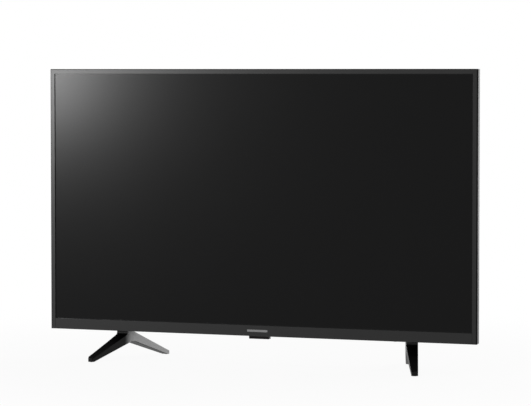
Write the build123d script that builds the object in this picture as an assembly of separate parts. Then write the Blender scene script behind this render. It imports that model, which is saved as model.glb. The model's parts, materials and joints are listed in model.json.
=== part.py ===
from build123d import *
from math import atan2, cos, degrees, hypot, radians, sin, tan
import os

# Flat screen television on two feet. Millimetres. X runs to the viewer's right, Y from front to back, Z up.
# Everything is built from the front plane of the bezel (Y = 0) and the floor (Z = 0), and moved at the end
# so that the origin is the bottom centre of the box that holds the whole set.

# Cabinet: the visible screen, its margins and the room under it
view_width = 940.8
view_height = 528.2
bezel_margin = 10.1
chin_height = 22.7
floor_gap = 64.0
bezel_depth = 6.0
bezel_lip = 2.0
bezel_wall = 1.8
bezel_slope_width = 1.4
bezel_slope_drop = 1.2
seam = 0.2
part_gap = 0.3
overrun = 1.0

cabinet_width = view_width + bezel_margin * 2
cabinet_height = chin_height + view_height + bezel_margin
cabinet_low = floor_gap
cabinet_high = floor_gap + cabinet_height
half_width = cabinet_width / 2
view_low = cabinet_low + chin_height
view_high = view_low + view_height
half_view = view_width / 2

# Badge plate on the chin
badge_width = 46.0
badge_height = 5.0
badge_proud = 0.5

# Rear cover: a thin shell with a low band that holds the controls, and a hump that holds the boards
cover_wall = 2.5
cover_seam = 0.4
rim_step = 0.5
rim_back = 18.0
thin_gap = 2.0
taper_in = 42.0
bulge_slope = 14.0
band_inset = 50.5
band_half = half_width - band_inset

# Screen module, counted from the bezel lip backwards
panel_thickness = 1.4
panel_cover = 4.2
ledge_thickness = 1.5
ledge_show = 1.6
frame_wall = 2.8
sheet_thickness = 1.0
sheet_gap = 0.1
sheet_slack = 0.8
diffuser_thickness = 1.5
pan_steel = 1.0
pan_slope_in = 38.0
pan_back = 37.0
pan_rim = 8.0
reflector_thickness = 0.5
reflector_offset = 2.2
cavity_low_offset = 4.5
cavity_high_offset = 3.1

panel_front = bezel_lip + part_gap
panel_back = panel_front + panel_thickness
ledge_back = panel_back + ledge_thickness
sheet_front = ledge_back + sheet_gap
diffuser_front = sheet_front + sheet_thickness + sheet_gap
pan_front = diffuser_front + diffuser_thickness
frame_half = half_width - rim_step - cover_wall - part_gap
frame_low = cabinet_low + rim_step + cover_wall + part_gap
frame_high = cabinet_high - rim_step - cover_wall - part_gap
panel_half = half_view + panel_cover
panel_high = view_high + panel_cover
pan_half = frame_half - frame_wall + sheet_slack
cavity_half = pan_half - pan_rim
cavity_low = view_low - cavity_low_offset
cavity_high = view_high + cavity_high_offset

# Light bars
bar_count = 4
lens_per_bar = 8
bar_width = 15.0
bar_thickness = 1.0
bar_overhang = 12.0
lens_radius = 8.0
lens_height = 5.5
lens_foot = 1.5
lens_steps = 4
reflector_hole = 10.0
post_foot_radius = 4.0
post_tip_radius = 1.2
post_reach_share = 0.5

# Source board and films at the lower edge of the panel
source_board_length = 230.0
source_board_height = 9.0
film_run = 4.1
source_board_thickness = 1.0
source_board_reach = 250.0
film_count = 4
film_width = 32.0
film_thickness = 0.3
source_low = frame_low + part_gap
panel_low = source_low + source_board_height + film_run

cover_front = bezel_depth + cover_seam
cover_low = cabinet_low + rim_step
thin_back = pan_back + thin_gap + cover_wall

# Control panel with three buttons, which sets the height of the band
key_panel_inset = 55.0
key_panel_width = 30.0
key_panel_margin = 27.0
key_panel_surround = 38.0
key_panel_drop = 7.0
key_flange = 1.5
key_flange_out = 2.0
button_width = 14.0
button_height = 9.0
button_pitch = 18.0
button_proud = 1.4
button_flange = 1.5
button_flange_out = 1.0
button_clearance = 0.3
button_travel = 0.8
key_board_thickness = 1.2
key_board_width = 24.0
key_board_margin = 4.0
tact_size = 6.0
tact_height = 3.5
tact_margin = 0.2
key_post_radius = 2.5
key_post_inset = 4.5

key_panel_height = button_pitch * 2 + button_height + key_panel_margin
key_board_height = key_panel_height - key_board_margin
panel_x = band_half - key_panel_inset
band_height = key_panel_height + key_panel_surround
band_top = cabinet_low + band_height

# Wall mount
vesa_spacing = 200.0
vesa_rise = 132.0
vesa_thread_radius = 3.0
vesa_thread_depth = 20.0
spacer_radius = 8.0

# Sockets on the side of the hump: body width, height and depth, then mouth width, height and depth
terminal_rise = 13.0
terminal_head = 14.6
terminal_gap = 5.0
terminal_plate_thickness = 1.5
terminal_slot_lip = 0.7
terminal_slot_height = 15.0
tongue_thickness = 1.0
tongue_recess = 4.8
socket_clearance = 0.2
lan_size = (16.0, 13.5, 20.0, 12.0, 8.0, 15.0)
hdmi_size = (15.2, 6.4, 12.0, 14.0, 4.8, 10.5)
usb_size = (14.0, 7.2, 14.5, 12.6, 5.2, 12.5)
optical_size = (10.0, 10.0, 14.0, 5.6, 5.6, 6.5)
card_size = (58.0, 7.4, 62.0, 54.5, 5.4, 58.0)
headphone_body = (8.0, 6.6, 14.0)
headphone_bore = 1.8
headphone_reach = 12.5
aerial_body = (13.0, 11.0, 24.0)
aerial_radius = 4.75
aerial_reach = 10.5
aerial_pin_hole = 0.6
aerial_pin_depth = 9.0
terminal_order = [
    ("aerial", aerial_body), ("lan", lan_size), ("hdmi", hdmi_size), ("hdmi", hdmi_size),
    ("usb", usb_size), ("usb", usb_size), ("optical", optical_size),
    ("headphone", headphone_body), ("card", card_size),
]

# Boards, one on each side of the wall mount. They set the width, height and depth of the hump.
board_thickness = 1.6
board_gap = 8.4
board_width = 175.0
board_clear = 11.0
board_rise = 8.0
board_edge = 6.0
board_head = 42.0
board_hole_inset = 7.0
board_spacer_radius = 3.2
board_hole_radius = 1.7
capacitor_radius = 9.0
capacitor_height = 22.0
tall_clear = 4.5

board_front = pan_back + board_gap
board_back = board_front + board_thickness
board_low = band_top + board_rise
board_height = terminal_rise + terminal_head + sum(size[0] + terminal_gap for name, size in terminal_order)
board_inner = vesa_spacing / 2 + spacer_radius + board_clear
board_outer = board_inner + board_width
hump_half = board_outer + board_edge
hump_top = board_low + board_height + board_head
bulge_back = board_back + capacitor_height + tall_clear + cover_wall
inner_back = bulge_back - cover_wall
vesa_centre_z = board_low + vesa_rise
terminal_low = board_low + terminal_rise
terminal_slot_low = board_back - terminal_slot_lip
terminal_slot_high = terminal_slot_low + terminal_slot_height

# Vents and speaker slots
slot_width = 2.2
slot_pitch = 7.0
vent_height = 42.0
vent_count = 19
vent_inset = 100.0
vent_drop = 60.0
speaker_slot_count = 9
speaker_slot_length = 34.0
intake_count = 13
intake_length = 34.0
intake_centre_x = 85.0
vent_centre_x = hump_half - vent_inset
vent_centre_z = hump_top - vent_drop

# Screws
screw_radius = 1.5
screw_fit = 0.05
screw_head_radius = 3.0
screw_head_height = 2.0
board_screw_length = 6.0
cover_boss_radius = 5.0
cover_hole_radius = 1.8
well_radius = 5.5
well_wall = 1.5
well_floor = 5.0
top_screw_x = 125.0
top_screw_drop = 13.0
side_screw_rise = 46.0
side_screw_pitch = 130.0
hump_screw_drop = 24.0
band_screw_x = 60.0
band_screw_drop = 42.0
screw_tip = pan_back - pan_steel
side_screw_x = (hump_half + half_width - taper_in) / 2
top_screw_z = cabinet_high - taper_in - top_screw_drop
side_screw_z = band_top + side_screw_rise
thin_screw_places = [(side * x, z) for side in (-1, 1) for x, z in (
    (side_screw_x, top_screw_z), (top_screw_x, top_screw_z),
    (side_screw_x, side_screw_z + side_screw_pitch), (side_screw_x, side_screw_z))]
deep_screw_places = [(side * x, z) for side in (-1, 1) for x, z in (
    (vent_centre_x, hump_top - hump_screw_drop), (band_screw_x, band_top - band_screw_drop))]

# Mains inlet on the other side of the hump
inlet_rise = 18.0
inlet_low = board_low + inlet_rise
inlet_width = 24.0
inlet_height = 13.0
inlet_depth = 22.0
inlet_mouth_width = 18.0
inlet_mouth_height = 9.2
inlet_mouth_depth = 17.0
inlet_pin_radius = 1.2
inlet_pin_reach = 11.0
inlet_pin_spacing = 8.6

# Mains switch on the back of the band
switch_step = 43.0
switch_x = panel_x - switch_step
switch_z = cabinet_low + band_height / 2 - key_panel_drop
switch_width = 12.8
switch_height = 19.0
switch_depth = 18.0
switch_flange = 1.4
switch_flange_out = 1.1
switch_cavity_width = 10.4
switch_cavity_height = 16.0
switch_cavity_depth = 6.0
rocker_width = 9.8
rocker_height = 15.0
rocker_thickness = 5.0
rocker_dip = 1.2
rocker_pin_radius = 1.2
rocker_pin_length = 1.1
rocker_pin_fit = 0.06
rocker_half_swing = 7.0
rocker_axis_inset = 1.8
blade_width = 4.8
blade_thickness = 0.8
blade_length = 7.0

# Speakers
speaker_half = 62.0
speaker_step = 112.0
speaker_front = 30.0
speaker_back_gap = 5.5
speaker_height = 44.0
speaker_centre_x = switch_x - speaker_step
speaker_back = inner_back - speaker_back_gap
speaker_centre_y = (speaker_front + speaker_back) / 2
speaker_high = cabinet_low + speaker_height
speaker_wall = 2.0
gasket_thickness = 1.5
gasket_margin = 2.0
driver_radius = 16.0
driver_flange = 2.0
cone_depth = 6.0
magnet_radius = 11.0
magnet_height = 12.0
dust_cap_radius = 5.0

# Receiver under the middle of the chin
receiver_width = 45.0
receiver_drop = 6.5
receiver_front = 9.3
receiver_back = 22.0
receiver_taper = 0.8
receiver_flange = 1.5
receiver_flange_out = 3.0
receiver_board_front = 14.0
receiver_board_height = 15.0
receiver_board_half = 20.0

# Feet: the plan is that of the inner face, from the fold at the hub to each toe
foot_inset = 171.4
fold_y = 54.6
front_toe_out = 49.7
front_toe_reach = 107.4
rear_toe_in = 36.1
rear_toe_reach = 111.6
hub_thickness = 26.6
front_toe_thickness = 13.4
rear_toe_thickness = 10.8
arch_height = 38.3
toe_height = 6.4
front_top_run = 16.3
rear_top_run = -1.3
front_sole_length = 8.6
rear_sole_length = 8.6
arch_round = 9.0
front_neck = 10.7
rear_neck = 4.0
neck_round = 6.0
toe_round = 5.0
sole_round = 2.4
pad_height = 1.0
pad_length = 6.0
pad_width = 6.5
pad_back_front = 5.0
pad_back_rear = 5.0
foot_plate_half_width = 27.0
foot_plate_front = 9.5
foot_plate_back = 67.0
foot_plate_thickness = 3.0
foot_plate_shift = 11.8
foot_screw_radius = 2.0
foot_screw_length = 9.0
foot_screw_head_radius = 3.6
foot_screw_head_height = 1.6
foot_screw_inset = 7.0
bracket_thickness = 3.0
bracket_half_width = 20.0
bracket_front = 12.0
bracket_height = 83.0
fold_x = half_width - foot_inset
front_toe_x = fold_x + front_toe_out
front_toe_y = fold_y - front_toe_reach
rear_toe_x = fold_x - rear_toe_in
rear_toe_y = fold_y + rear_toe_reach

# Wiring
flat_cable_width = 20.0
flat_cable_thickness = 0.6
flat_cable_inset = 23.0
flat_cable_x = -board_inner - flat_cable_inset
cable_slot_margin = 2.0
lead_arc_share = 0.45
speaker_lead_radius = 1.5
power_lead_radius = 2.2
signal_lead_radius = 1.2
lead_rise = 18.0
board_lead_y = board_front + board_thickness / 2
speaker_lead_gap = 4.5
speaker_lead_drop = 24.0
key_lead_gap = 6.0
key_lead_drop = 12.0
power_lead_rise = 118.0
speaker_lead_y = pan_back + speaker_lead_gap
speaker_lead_z = band_top - speaker_lead_drop
key_lead_y = board_back + key_lead_gap
key_lead_z = band_top - key_lead_drop
power_lead_z = board_low + power_lead_rise
power_lead_dip = 16.0
light_lead_x = 60.0
clip_wall = 1.5
clip_length = 9.0
clip_places = (-40.0, 40.0, 120.0)


def block(x0, x1, y0, y1, z0, z1):
    """Box between two corners."""
    centre = Pos((x0 + x1) / 2, (y0 + y1) / 2, (z0 + z1) / 2)
    return centre * Box(abs(x1 - x0), abs(y1 - y0), abs(z1 - z0))


def rod_x(radius, x0, x1, y, z):
    """Cylinder along X."""
    return Pos((x0 + x1) / 2, y, z) * Rot(0, 90, 0) * Cylinder(radius, abs(x1 - x0))


def rod_y(radius, x, y0, y1, z):
    """Cylinder along Y."""
    return Pos(x, (y0 + y1) / 2, z) * Rot(90, 0, 0) * Cylinder(radius, abs(y1 - y0))


def rod_z(radius, x, y, z0, z1):
    """Cylinder along Z."""
    return Pos(x, y, (z0 + z1) / 2) * Cylinder(radius, abs(z1 - z0))


def outline_xz(points, y):
    """Flat face at a depth, from points in X and Z."""
    return Face(Wire.make_polygon([(x, y, z) for x, z in points]))


def outline_yz(points, x):
    """Flat face at a place across the set, from points in Y and Z."""
    return Face(Wire.make_polygon([(x, y, z) for y, z in points]))


def rectangle_points(half, low, high):
    """Corners of an upright rectangle centred on X = 0."""
    return [(-half, low), (half, low), (half, high), (-half, high)]


def between(points_a, y_a, points_b, y_b):
    """Straight-sided solid between two outlines at two depths."""
    return loft([outline_xz(points_a, y_a), outline_xz(points_b, y_b)], ruled=True)


def group(pieces):
    """Separate solids kept together under one name."""
    return Compound([solid for piece in pieces for solid in piece.solids()])


def mirrored(shape):
    """The same piece on the other side of the set."""
    return mirror(shape, about=Plane.YZ)


def lead(points, radius):
    """Round lead through points, with an arc at each corner as large as its runs allow."""
    corner_radii = []
    for before, here, after in zip(points, points[1:], points[2:]):
        run_in = Vector(*here) - Vector(*before)
        run_out = Vector(*after) - Vector(*here)
        turn = radians(run_in.get_angle(run_out))
        shorter = min(run_in.length, run_out.length)
        corner_radii.append(lead_arc_share * shorter / tan(turn / 2))
    path = FilletPolyline(*points, radius=corner_radii)
    return sweep(Plane(path @ 0, z_dir=path % 0) * Circle(radius), path=path)


# Bezel

def bezel_frame():
    """Slim frame with a broken outer edge: top and two sides, which run down past the chin bar."""
    inner = rectangle_points(half_width - bezel_slope_width, cabinet_low, cabinet_high - bezel_slope_width)
    outer = rectangle_points(half_width, cabinet_low, cabinet_high)
    body = between(inner, 0, outer, bezel_slope_drop)
    body += block(-half_width, half_width, bezel_slope_drop, bezel_depth, cabinet_low, cabinet_high)
    wall_half = half_width - bezel_wall
    body -= block(-wall_half, wall_half, bezel_lip, bezel_depth + overrun,
                  cabinet_low - overrun, cabinet_high - bezel_wall)
    body -= block(-half_view, half_view, -overrun, bezel_depth, view_low, view_high)
    body -= block(-half_view, half_view, -overrun, bezel_depth + overrun,
                  cabinet_low - overrun, view_low + seam)
    return body


def bottom_bezel():
    """Chin bar: a front wall with a return along its lower edge."""
    bar_half = half_view - seam
    bar = block(-bar_half, bar_half, 0, bezel_lip, cabinet_low, view_low)
    lower_edge = bar.edges().filter_by(Axis.X).group_by(Axis.Z)[0].sort_by(Axis.Y)[0]
    bar = chamfer(lower_edge, bezel_slope_drop / 2)
    return_half = half_width - bezel_wall - seam
    bar += block(-return_half, return_half, bezel_lip, bezel_depth, cabinet_low, cabinet_low + bezel_wall)
    bar += block(-bar_half, bar_half, bezel_lip / 2, bezel_lip, cabinet_low, view_low)
    return bar


def badge_bar():
    """Plain plate stuck on the middle of the chin."""
    middle = cabinet_low + chin_height / 2
    plate = block(-badge_width / 2, badge_width / 2, -badge_proud, 0,
                  middle - badge_height / 2, middle + badge_height / 2)
    front_edges = plate.faces().sort_by(Axis.Y)[0].edges()
    return chamfer(front_edges, badge_proud / 2)


# Screen module

def lcd_panel():
    """Glass panel behind the bezel lip."""
    return block(-panel_half, panel_half, panel_front, panel_back, panel_low, panel_high)


def cable_slot(y0, y1):
    """Room for the flat cable through the frame and the pan rim."""
    slot_half = flat_cable_width / 2 + cable_slot_margin
    return block(flat_cable_x - slot_half, flat_cable_x + slot_half, y0, y1,
                 cable_level - cable_slot_margin, cable_level + cable_slot_margin)


def middle_frame():
    """Plastic frame that the panel lies on and that spaces it from the pan."""
    ring = block(-frame_half, frame_half, panel_back, pan_front, frame_low, frame_high)
    window_half = half_view + ledge_show
    window_low = view_low - ledge_show
    window_high = view_high + ledge_show
    ring -= block(-window_half, window_half, panel_back - overrun, pan_front, window_low, window_high)
    pocket_half = frame_half - frame_wall
    ring -= block(-pocket_half, pocket_half, ledge_back, pan_front + overrun,
                  frame_low + frame_wall, frame_high - frame_wall)
    return ring - cable_slot(panel_back - overrun, pan_front + overrun)


def optical_sheets():
    """Stack of films in front of the diffuser, drawn as one sheet."""
    half = frame_half - frame_wall - sheet_slack
    return block(-half, half, sheet_front, sheet_front + sheet_thickness,
                 frame_low + frame_wall + sheet_slack + source_board_height,
                 frame_high - frame_wall - sheet_slack)


def diffuser_plate():
    """Milky plate on the rim of the pan."""
    half = frame_half - frame_wall - sheet_slack
    return block(-half, half, diffuser_front, pan_front,
                 frame_low + frame_wall + sheet_slack + source_board_height,
                 frame_high - frame_wall - sheet_slack)


def tray(inset):
    """Tray form of the light box, moved in by inset."""
    mouth = rectangle_points(cavity_half - inset, cavity_low + inset, cavity_high - inset)
    floor = rectangle_points(cavity_half - pan_slope_in - inset, cavity_low + pan_slope_in + inset,
                             cavity_high - pan_slope_in - inset)
    return between(mouth, pan_front, floor, pan_back - inset)


def back_pan():
    """Pressed steel pan with a rim, the backbone of the set."""
    rim = block(-pan_half, pan_half, pan_front, pan_front + pan_steel,
                frame_low + seam, frame_high - seam)
    pan = rim + tray(0)
    hollow = rectangle_points(cavity_half - pan_steel, cavity_low + pan_steel, cavity_high - pan_steel)
    pan -= between(hollow, pan_front - overrun, hollow, pan_front)
    pan -= tray(pan_steel)
    for x, z in thin_screw_places + deep_screw_places:
        pan -= rod_y(screw_radius + screw_fit, x, pan_back - reflector_offset, pan_back + overrun, z)
    pan -= rod_y(signal_lead_radius + part_gap, light_lead_x, pan_back - reflector_offset, pan_back + overrun,
                 bar_levels()[2])
    return pan - cable_slot(pan_front - overrun, pan_front + pan_steel + overrun)


def bar_levels():
    """Heights of the light bars."""
    step = (cavity_high - cavity_low) / bar_count
    return [cavity_low + step * (number + 0.5) for number in range(bar_count)]


def lens_columns():
    """Places of the lenses along a bar."""
    step = 2 * cavity_half / lens_per_bar
    return [-cavity_half + step * (number + 0.5) for number in range(lens_per_bar)]


def led_bars():
    """Narrow circuit bars on the floor of the pan."""
    floor = pan_back - pan_steel
    reach = lens_columns()[-1] + bar_overhang
    return group([block(-reach, reach, floor - bar_thickness, floor, z - bar_width / 2, z + bar_width / 2)
                  for z in bar_levels()])


def led_lens():
    """Domed lens over one diode, its axis along Y, its foot at Y = 0."""
    angles = [radians(90 * number / lens_steps) for number in range(lens_steps + 1)]
    rise = lens_height - lens_foot
    dome = [(lens_radius * cos(angle), lens_foot + rise * sin(angle)) for angle in angles]
    dome[-1] = (0, lens_height)
    section = Face(Wire.make_polygon([(r, -y, 0) for r, y in [(0, 0), (lens_radius, 0)] + dome]))
    return revolve(section, Axis.Y)


def led_lenses():
    """All lenses, one over each diode."""
    lens = led_lens()
    foot = pan_back - pan_steel - bar_thickness
    return group([Pos(x, foot, z) * lens for z in bar_levels() for x in lens_columns()])


def reflector_sheet():
    """White sheet that lines the pan, with a hole round each lens."""
    sheet = tray(reflector_offset) - tray(reflector_offset + reflector_thickness)
    floor = pan_back - reflector_offset
    holes = [rod_y(reflector_hole, x, floor - reflector_offset, floor + overrun, z)
             for z in bar_levels() for x in lens_columns()]
    return sheet - holes


def diffuser_posts():
    """Cones that keep the diffuser off the lenses."""
    floor = pan_back - reflector_offset - reflector_thickness
    length = floor - pan_front
    cone = Rot(90, 0, 0) * Cone(post_foot_radius, post_tip_radius, length)
    step = 2 * cavity_half / lens_per_bar
    levels = bar_levels()
    rows = [(low + high) / 2 for low, high in zip(levels, levels[1:])]
    reach = cavity_half * post_reach_share
    places = [(x, z) for z in rows for x in (-reach - step / 2, 0, reach + step / 2)]
    return group([Pos(x, pan_front + length / 2, z) * cone for x, z in places])


source_front = bezel_lip + part_gap + film_thickness
cable_level = source_low + source_board_height / 2
film_low = source_low + source_board_height - board_hole_inset / 2


def source_boards():
    """Two narrow boards along the lower edge of the panel."""
    board = block(source_board_reach - source_board_length / 2, source_board_reach + source_board_length / 2,
                  source_front, source_front + source_board_thickness,
                  source_low, source_low + source_board_height)
    inner = block(-source_board_reach / 2, source_board_reach / 2,
                  source_front, source_front + source_board_thickness,
                  source_low, source_low + source_board_height)
    return group([board, inner, mirrored(board)])


def panel_films():
    """Thin films that join the boards to the lower edge of the panel."""
    step = source_board_length / film_count
    start = source_board_reach - source_board_length / 2
    columns = [start + step * (number + 0.5) for number in range(film_count)]
    films = [block(x - film_width / 2, x + film_width / 2, source_front - film_thickness, source_front,
                   film_low, panel_low) for x in columns]
    middle = [block(x - film_width / 2, x + film_width / 2, source_front - film_thickness, source_front,
                    film_low, panel_low) for x in (-step, 0, step)]
    return group(films + middle + [mirrored(film) for film in films])


# Rear cover

def bulge_points(inset, slope):
    """Outline of the deep part of the cover: a low band with a narrower hump on it."""
    wide = band_half - inset - slope
    narrow = hump_half - inset - slope
    low = cover_low + inset
    middle = band_top - inset - slope
    high = hump_top - inset - slope
    return [(-wide, low), (wide, low), (wide, middle), (narrow, middle), (narrow, high),
            (-narrow, high), (-narrow, middle), (-wide, middle)]


def cover_form(inset, front):
    """Closed form of the rear cover, moved in by inset on every side, from a front depth."""
    half = half_width - rim_step - inset
    low = cover_low + inset
    high = cabinet_high - rim_step - inset
    rim = block(-half, half, front, rim_back - inset, low, high)
    wide = rectangle_points(half, low, high)
    narrow = rectangle_points(half - taper_in, low, high - taper_in)
    taper = between(wide, rim_back - inset, narrow, thin_back - inset)
    straight_back = bulge_back - bulge_slope - inset
    plain = bulge_points(inset, 0)
    bulge = between(plain, rim_back - inset, plain, straight_back)
    slope = between(plain, straight_back, bulge_points(inset, bulge_slope), bulge_back - inset)
    return rim + taper + bulge + slope


def foot_centre():
    """Middle of the foot plate on the right, in X and Y."""
    return fold_x + foot_plate_shift, (foot_plate_front + foot_plate_back) / 2


def slot_row(count, centre):
    """Places of a row of slots at the slot pitch."""
    start = centre - slot_pitch * (count - 1) / 2
    return [start + slot_pitch * number for number in range(count)]


def terminal_stack():
    """Name, size and middle height of each socket, stacked upwards."""
    stack = []
    level = terminal_low
    for name, size in terminal_order:
        stack.append((name, size, level + size[0] / 2))
        level += size[0] + terminal_gap
    return stack, level


def terminal_hole(margin):
    """Opening in the side of the hump for the terminal plate."""
    high = terminal_stack()[1]
    return block(-hump_half - overrun, -hump_half + cover_wall + overrun,
                 terminal_slot_low - margin, terminal_slot_high + margin,
                 terminal_low - terminal_gap - margin, high + margin)


def rear_cover():
    """Moulded shell with vents, speaker slots, screw wells and room for what shows through it."""
    cover = cover_form(0, cover_front) - cover_form(cover_wall, cover_front - overrun)
    bosses = [rod_y(cover_boss_radius, x, pan_back, thin_back - cover_wall, z)
              for x, z in thin_screw_places]
    wells = [rod_y(well_radius + well_wall, x, pan_back, inner_back, z) for x, z in deep_screw_places]
    cover += bosses + wells
    cuts = [rod_y(cover_hole_radius, x, pan_back - overrun, thin_back + overrun, z)
            for x, z in thin_screw_places]
    cuts += [rod_y(cover_hole_radius, x, pan_back - overrun, pan_back + well_floor + overrun, z)
             for x, z in deep_screw_places]
    cuts += [rod_y(well_radius, x, pan_back + well_floor, bulge_back + overrun, z)
             for x, z in deep_screw_places]
    cuts += [rod_y(spacer_radius + part_gap, x, inner_back - overrun, bulge_back + overrun, z)
             for x, z in vesa_places()]
    for x in slot_row(vent_count, vent_centre_x):
        vent = block(x - slot_width / 2, x + slot_width / 2, inner_back - overrun, bulge_back + overrun,
                     vent_centre_z - vent_height / 2, vent_centre_z + vent_height / 2)
        cuts += [vent, mirrored(vent)]
    floor_low = cabinet_low - overrun
    floor_high = cover_low + cover_wall + overrun
    for count, centre, length in ((speaker_slot_count, speaker_centre_x, speaker_slot_length),
                                  (intake_count, intake_centre_x, intake_length)):
        for x in slot_row(count, centre):
            slot = block(x - slot_width / 2, x + slot_width / 2, speaker_centre_y - length / 2,
                         speaker_centre_y + length / 2, floor_low, floor_high)
            cuts += [slot, mirrored(slot)]
    plate_x = foot_centre()[0]
    plate_hole = block(plate_x - foot_plate_half_width - part_gap, plate_x + foot_plate_half_width + part_gap,
                       foot_plate_front - part_gap, foot_plate_back + part_gap, floor_low, floor_high)
    cuts += [plate_hole, mirrored(plate_hole)]
    cuts.append(block(-receiver_width / 2 - part_gap, receiver_width / 2 + part_gap,
                      receiver_front - part_gap, receiver_back + part_gap, floor_low, floor_high))
    cuts.append(terminal_hole(0))
    inlet_middle = inlet_low + inlet_width / 2
    cuts.append(block(hump_half - cover_wall - overrun, hump_half + overrun,
                      board_back - socket_clearance, board_back + inlet_height + socket_clearance,
                      inlet_middle - inlet_width / 2 - socket_clearance,
                      inlet_middle + inlet_width / 2 + socket_clearance))
    cuts.append(block(switch_x - switch_width / 2 - socket_clearance,
                      switch_x + switch_width / 2 + socket_clearance,
                      inner_back - overrun, bulge_back + overrun,
                      switch_z - switch_height / 2 - socket_clearance,
                      switch_z + switch_height / 2 + socket_clearance))
    cuts.append(block(panel_x - key_panel_width / 2 - socket_clearance,
                      panel_x + key_panel_width / 2 + socket_clearance,
                      inner_back - overrun, bulge_back + overrun,
                      switch_z - key_panel_height / 2 - socket_clearance,
                      switch_z + key_panel_height / 2 + socket_clearance))
    return cover - cuts


def vesa_places():
    """Centres of the wall-mount threads."""
    half = vesa_spacing / 2
    return [(x, vesa_centre_z + z) for x in (-half, half) for z in (-half, half)]


def vesa_spacers():
    """Threaded steel spacers from the pan to the back face of the cover."""
    return group([rod_y(spacer_radius, x, pan_back, bulge_back, z)
                  - rod_y(vesa_thread_radius, x, bulge_back - vesa_thread_depth, bulge_back + overrun, z)
                  for x, z in vesa_places()])


# Boards

def board_places(side):
    """Fixing holes of a board on one side of the set."""
    return [(side * x, z) for x in (board_inner + board_hole_inset, board_outer - board_hole_inset)
            for z in (board_low + board_hole_inset, board_low + board_height - board_hole_inset)]


def board(side):
    """One circuit board with its fixing holes."""
    plate = block(side * board_inner, side * board_outer, board_front, board_back,
                  board_low, board_low + board_height)
    return plate - [rod_y(board_hole_radius, x, board_front - overrun, board_back + overrun, z)
                    for x, z in board_places(side)]


def board_spacers():
    """Threaded spacers that hold both boards off the pan."""
    return group([rod_y(board_spacer_radius, x, pan_back, board_front, z)
                  - rod_y(screw_radius + screw_fit, x, pan_back + overrun, board_front + overrun, z)
                  for side in (-1, 1) for x, z in board_places(side)])


def screw_y(x, seat, tip, z):
    """Round-headed screw driven from behind: its head on the seat, its shaft to the tip."""
    head = rod_y(screw_head_radius, x, seat, seat + screw_head_height, z)
    rim = head.faces().sort_by(Axis.Y)[-1].edges()
    head = fillet(rim, screw_head_height / 2)
    cross = [Box(screw_head_radius, screw_head_height / 2, screw_radius / 2),
             Box(screw_radius / 2, screw_head_height / 2, screw_head_radius)]
    head -= [Pos(x, seat + screw_head_height, z) * bar for bar in cross]
    return head + rod_y(screw_radius, x, tip, seat, z)


def board_screws():
    """Screws of both boards."""
    return group([screw_y(x, board_back, board_back - board_screw_length, z)
                  for side in (-1, 1) for x, z in board_places(side)])


def cover_screws():
    """Screws of the rear cover, on its thin part and in its wells."""
    thin = [screw_y(x, thin_back, screw_tip, z) for x, z in thin_screw_places]
    deep = [screw_y(x, pan_back + well_floor, screw_tip, z) for x, z in deep_screw_places]
    return group(thin + deep)


chip_size = 23.0
chip_height = 1.8
memory_width = 9.0
memory_height = 13.0
memory_thickness = 1.0
chip_inset = 81.0
chip_rise = 108.0
memory_step = 36.0
sink_size = 46.0
sink_base = 2.5
sink_fin_height = 10.0
sink_fin = 1.2
sink_fin_count = 8
chip_x = -board_inner - chip_inset
chip_z = board_low + chip_rise


def main_chips():
    """Processor and memories on the main board."""
    chips = [block(chip_x - chip_size / 2, chip_x + chip_size / 2, board_back, board_back + chip_height,
                   chip_z - chip_size / 2, chip_z + chip_size / 2)]
    for x, z in ((chip_x, chip_z + memory_step), (chip_x, chip_z - memory_step),
                 (chip_x + memory_step, chip_z + memory_step)):
        chips.append(block(x - memory_width / 2, x + memory_width / 2,
                           board_back, board_back + memory_thickness,
                           z - memory_height / 2, z + memory_height / 2))
    return group(chips)


def finned(x, y, z, width, height, fins, base, fin_height, fin):
    """Finned aluminium block standing off a board, fins along Z."""
    sink = block(x - width / 2, x + width / 2, y, y + base, z - height / 2, z + height / 2)
    step = (width - fin) / (fins - 1)
    for number in range(fins):
        left = x - width / 2 + step * number
        sink += block(left, left + fin, y + base, y + base + fin_height, z - height / 2, z + height / 2)
    return sink


def chip_sink():
    """Heat sink on the processor."""
    return finned(chip_x, board_back + chip_height, chip_z, sink_size, sink_size,
                  sink_fin_count, sink_base, sink_fin_height, sink_fin)


transformer_width = 34.0
transformer_height = 38.0
transformer_depth = 20.0
transformer_inset = 56.0
transformer_rises = (80.0, 148.0)
bobbin_step = 4.0
capacitor_inset = 126.0
capacitor_rises = (76.0, 102.0, 128.0)
power_sink_inset = 96.0
power_sink_drop = 40.0
power_sink_width = 70.0
power_sink_height = 8.0
power_sink_fins = 9
transformer_x = board_inner + transformer_inset
power_sink_x = board_inner + power_sink_inset
power_sink_z = board_low + board_height - power_sink_drop


def transformers():
    """Two wound transformers with ferrite cores."""
    pieces = []
    for z in [board_low + rise for rise in transformer_rises]:
        core = block(transformer_x - transformer_width / 2, transformer_x + transformer_width / 2,
                     board_back, board_back + transformer_depth,
                     z - transformer_height / 4, z + transformer_height / 4)
        winding_half = transformer_width / 2 - bobbin_step
        winding = block(transformer_x - winding_half, transformer_x + winding_half,
                        board_back, board_back + transformer_depth - bobbin_step,
                        z - transformer_height / 2, z + transformer_height / 2)
        pieces.append(core + winding)
    return group(pieces)


def capacitors():
    """Smoothing capacitors standing on the power board."""
    return group([rod_y(capacitor_radius, board_inner + capacitor_inset, board_back,
                        board_back + capacitor_height, board_low + rise) for rise in capacitor_rises])


def power_sink():
    """Heat sink of the power board."""
    return finned(power_sink_x, board_back, power_sink_z, power_sink_width, power_sink_height,
                  power_sink_fins, sink_base, sink_fin_height, sink_fin)


# Sockets

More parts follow.
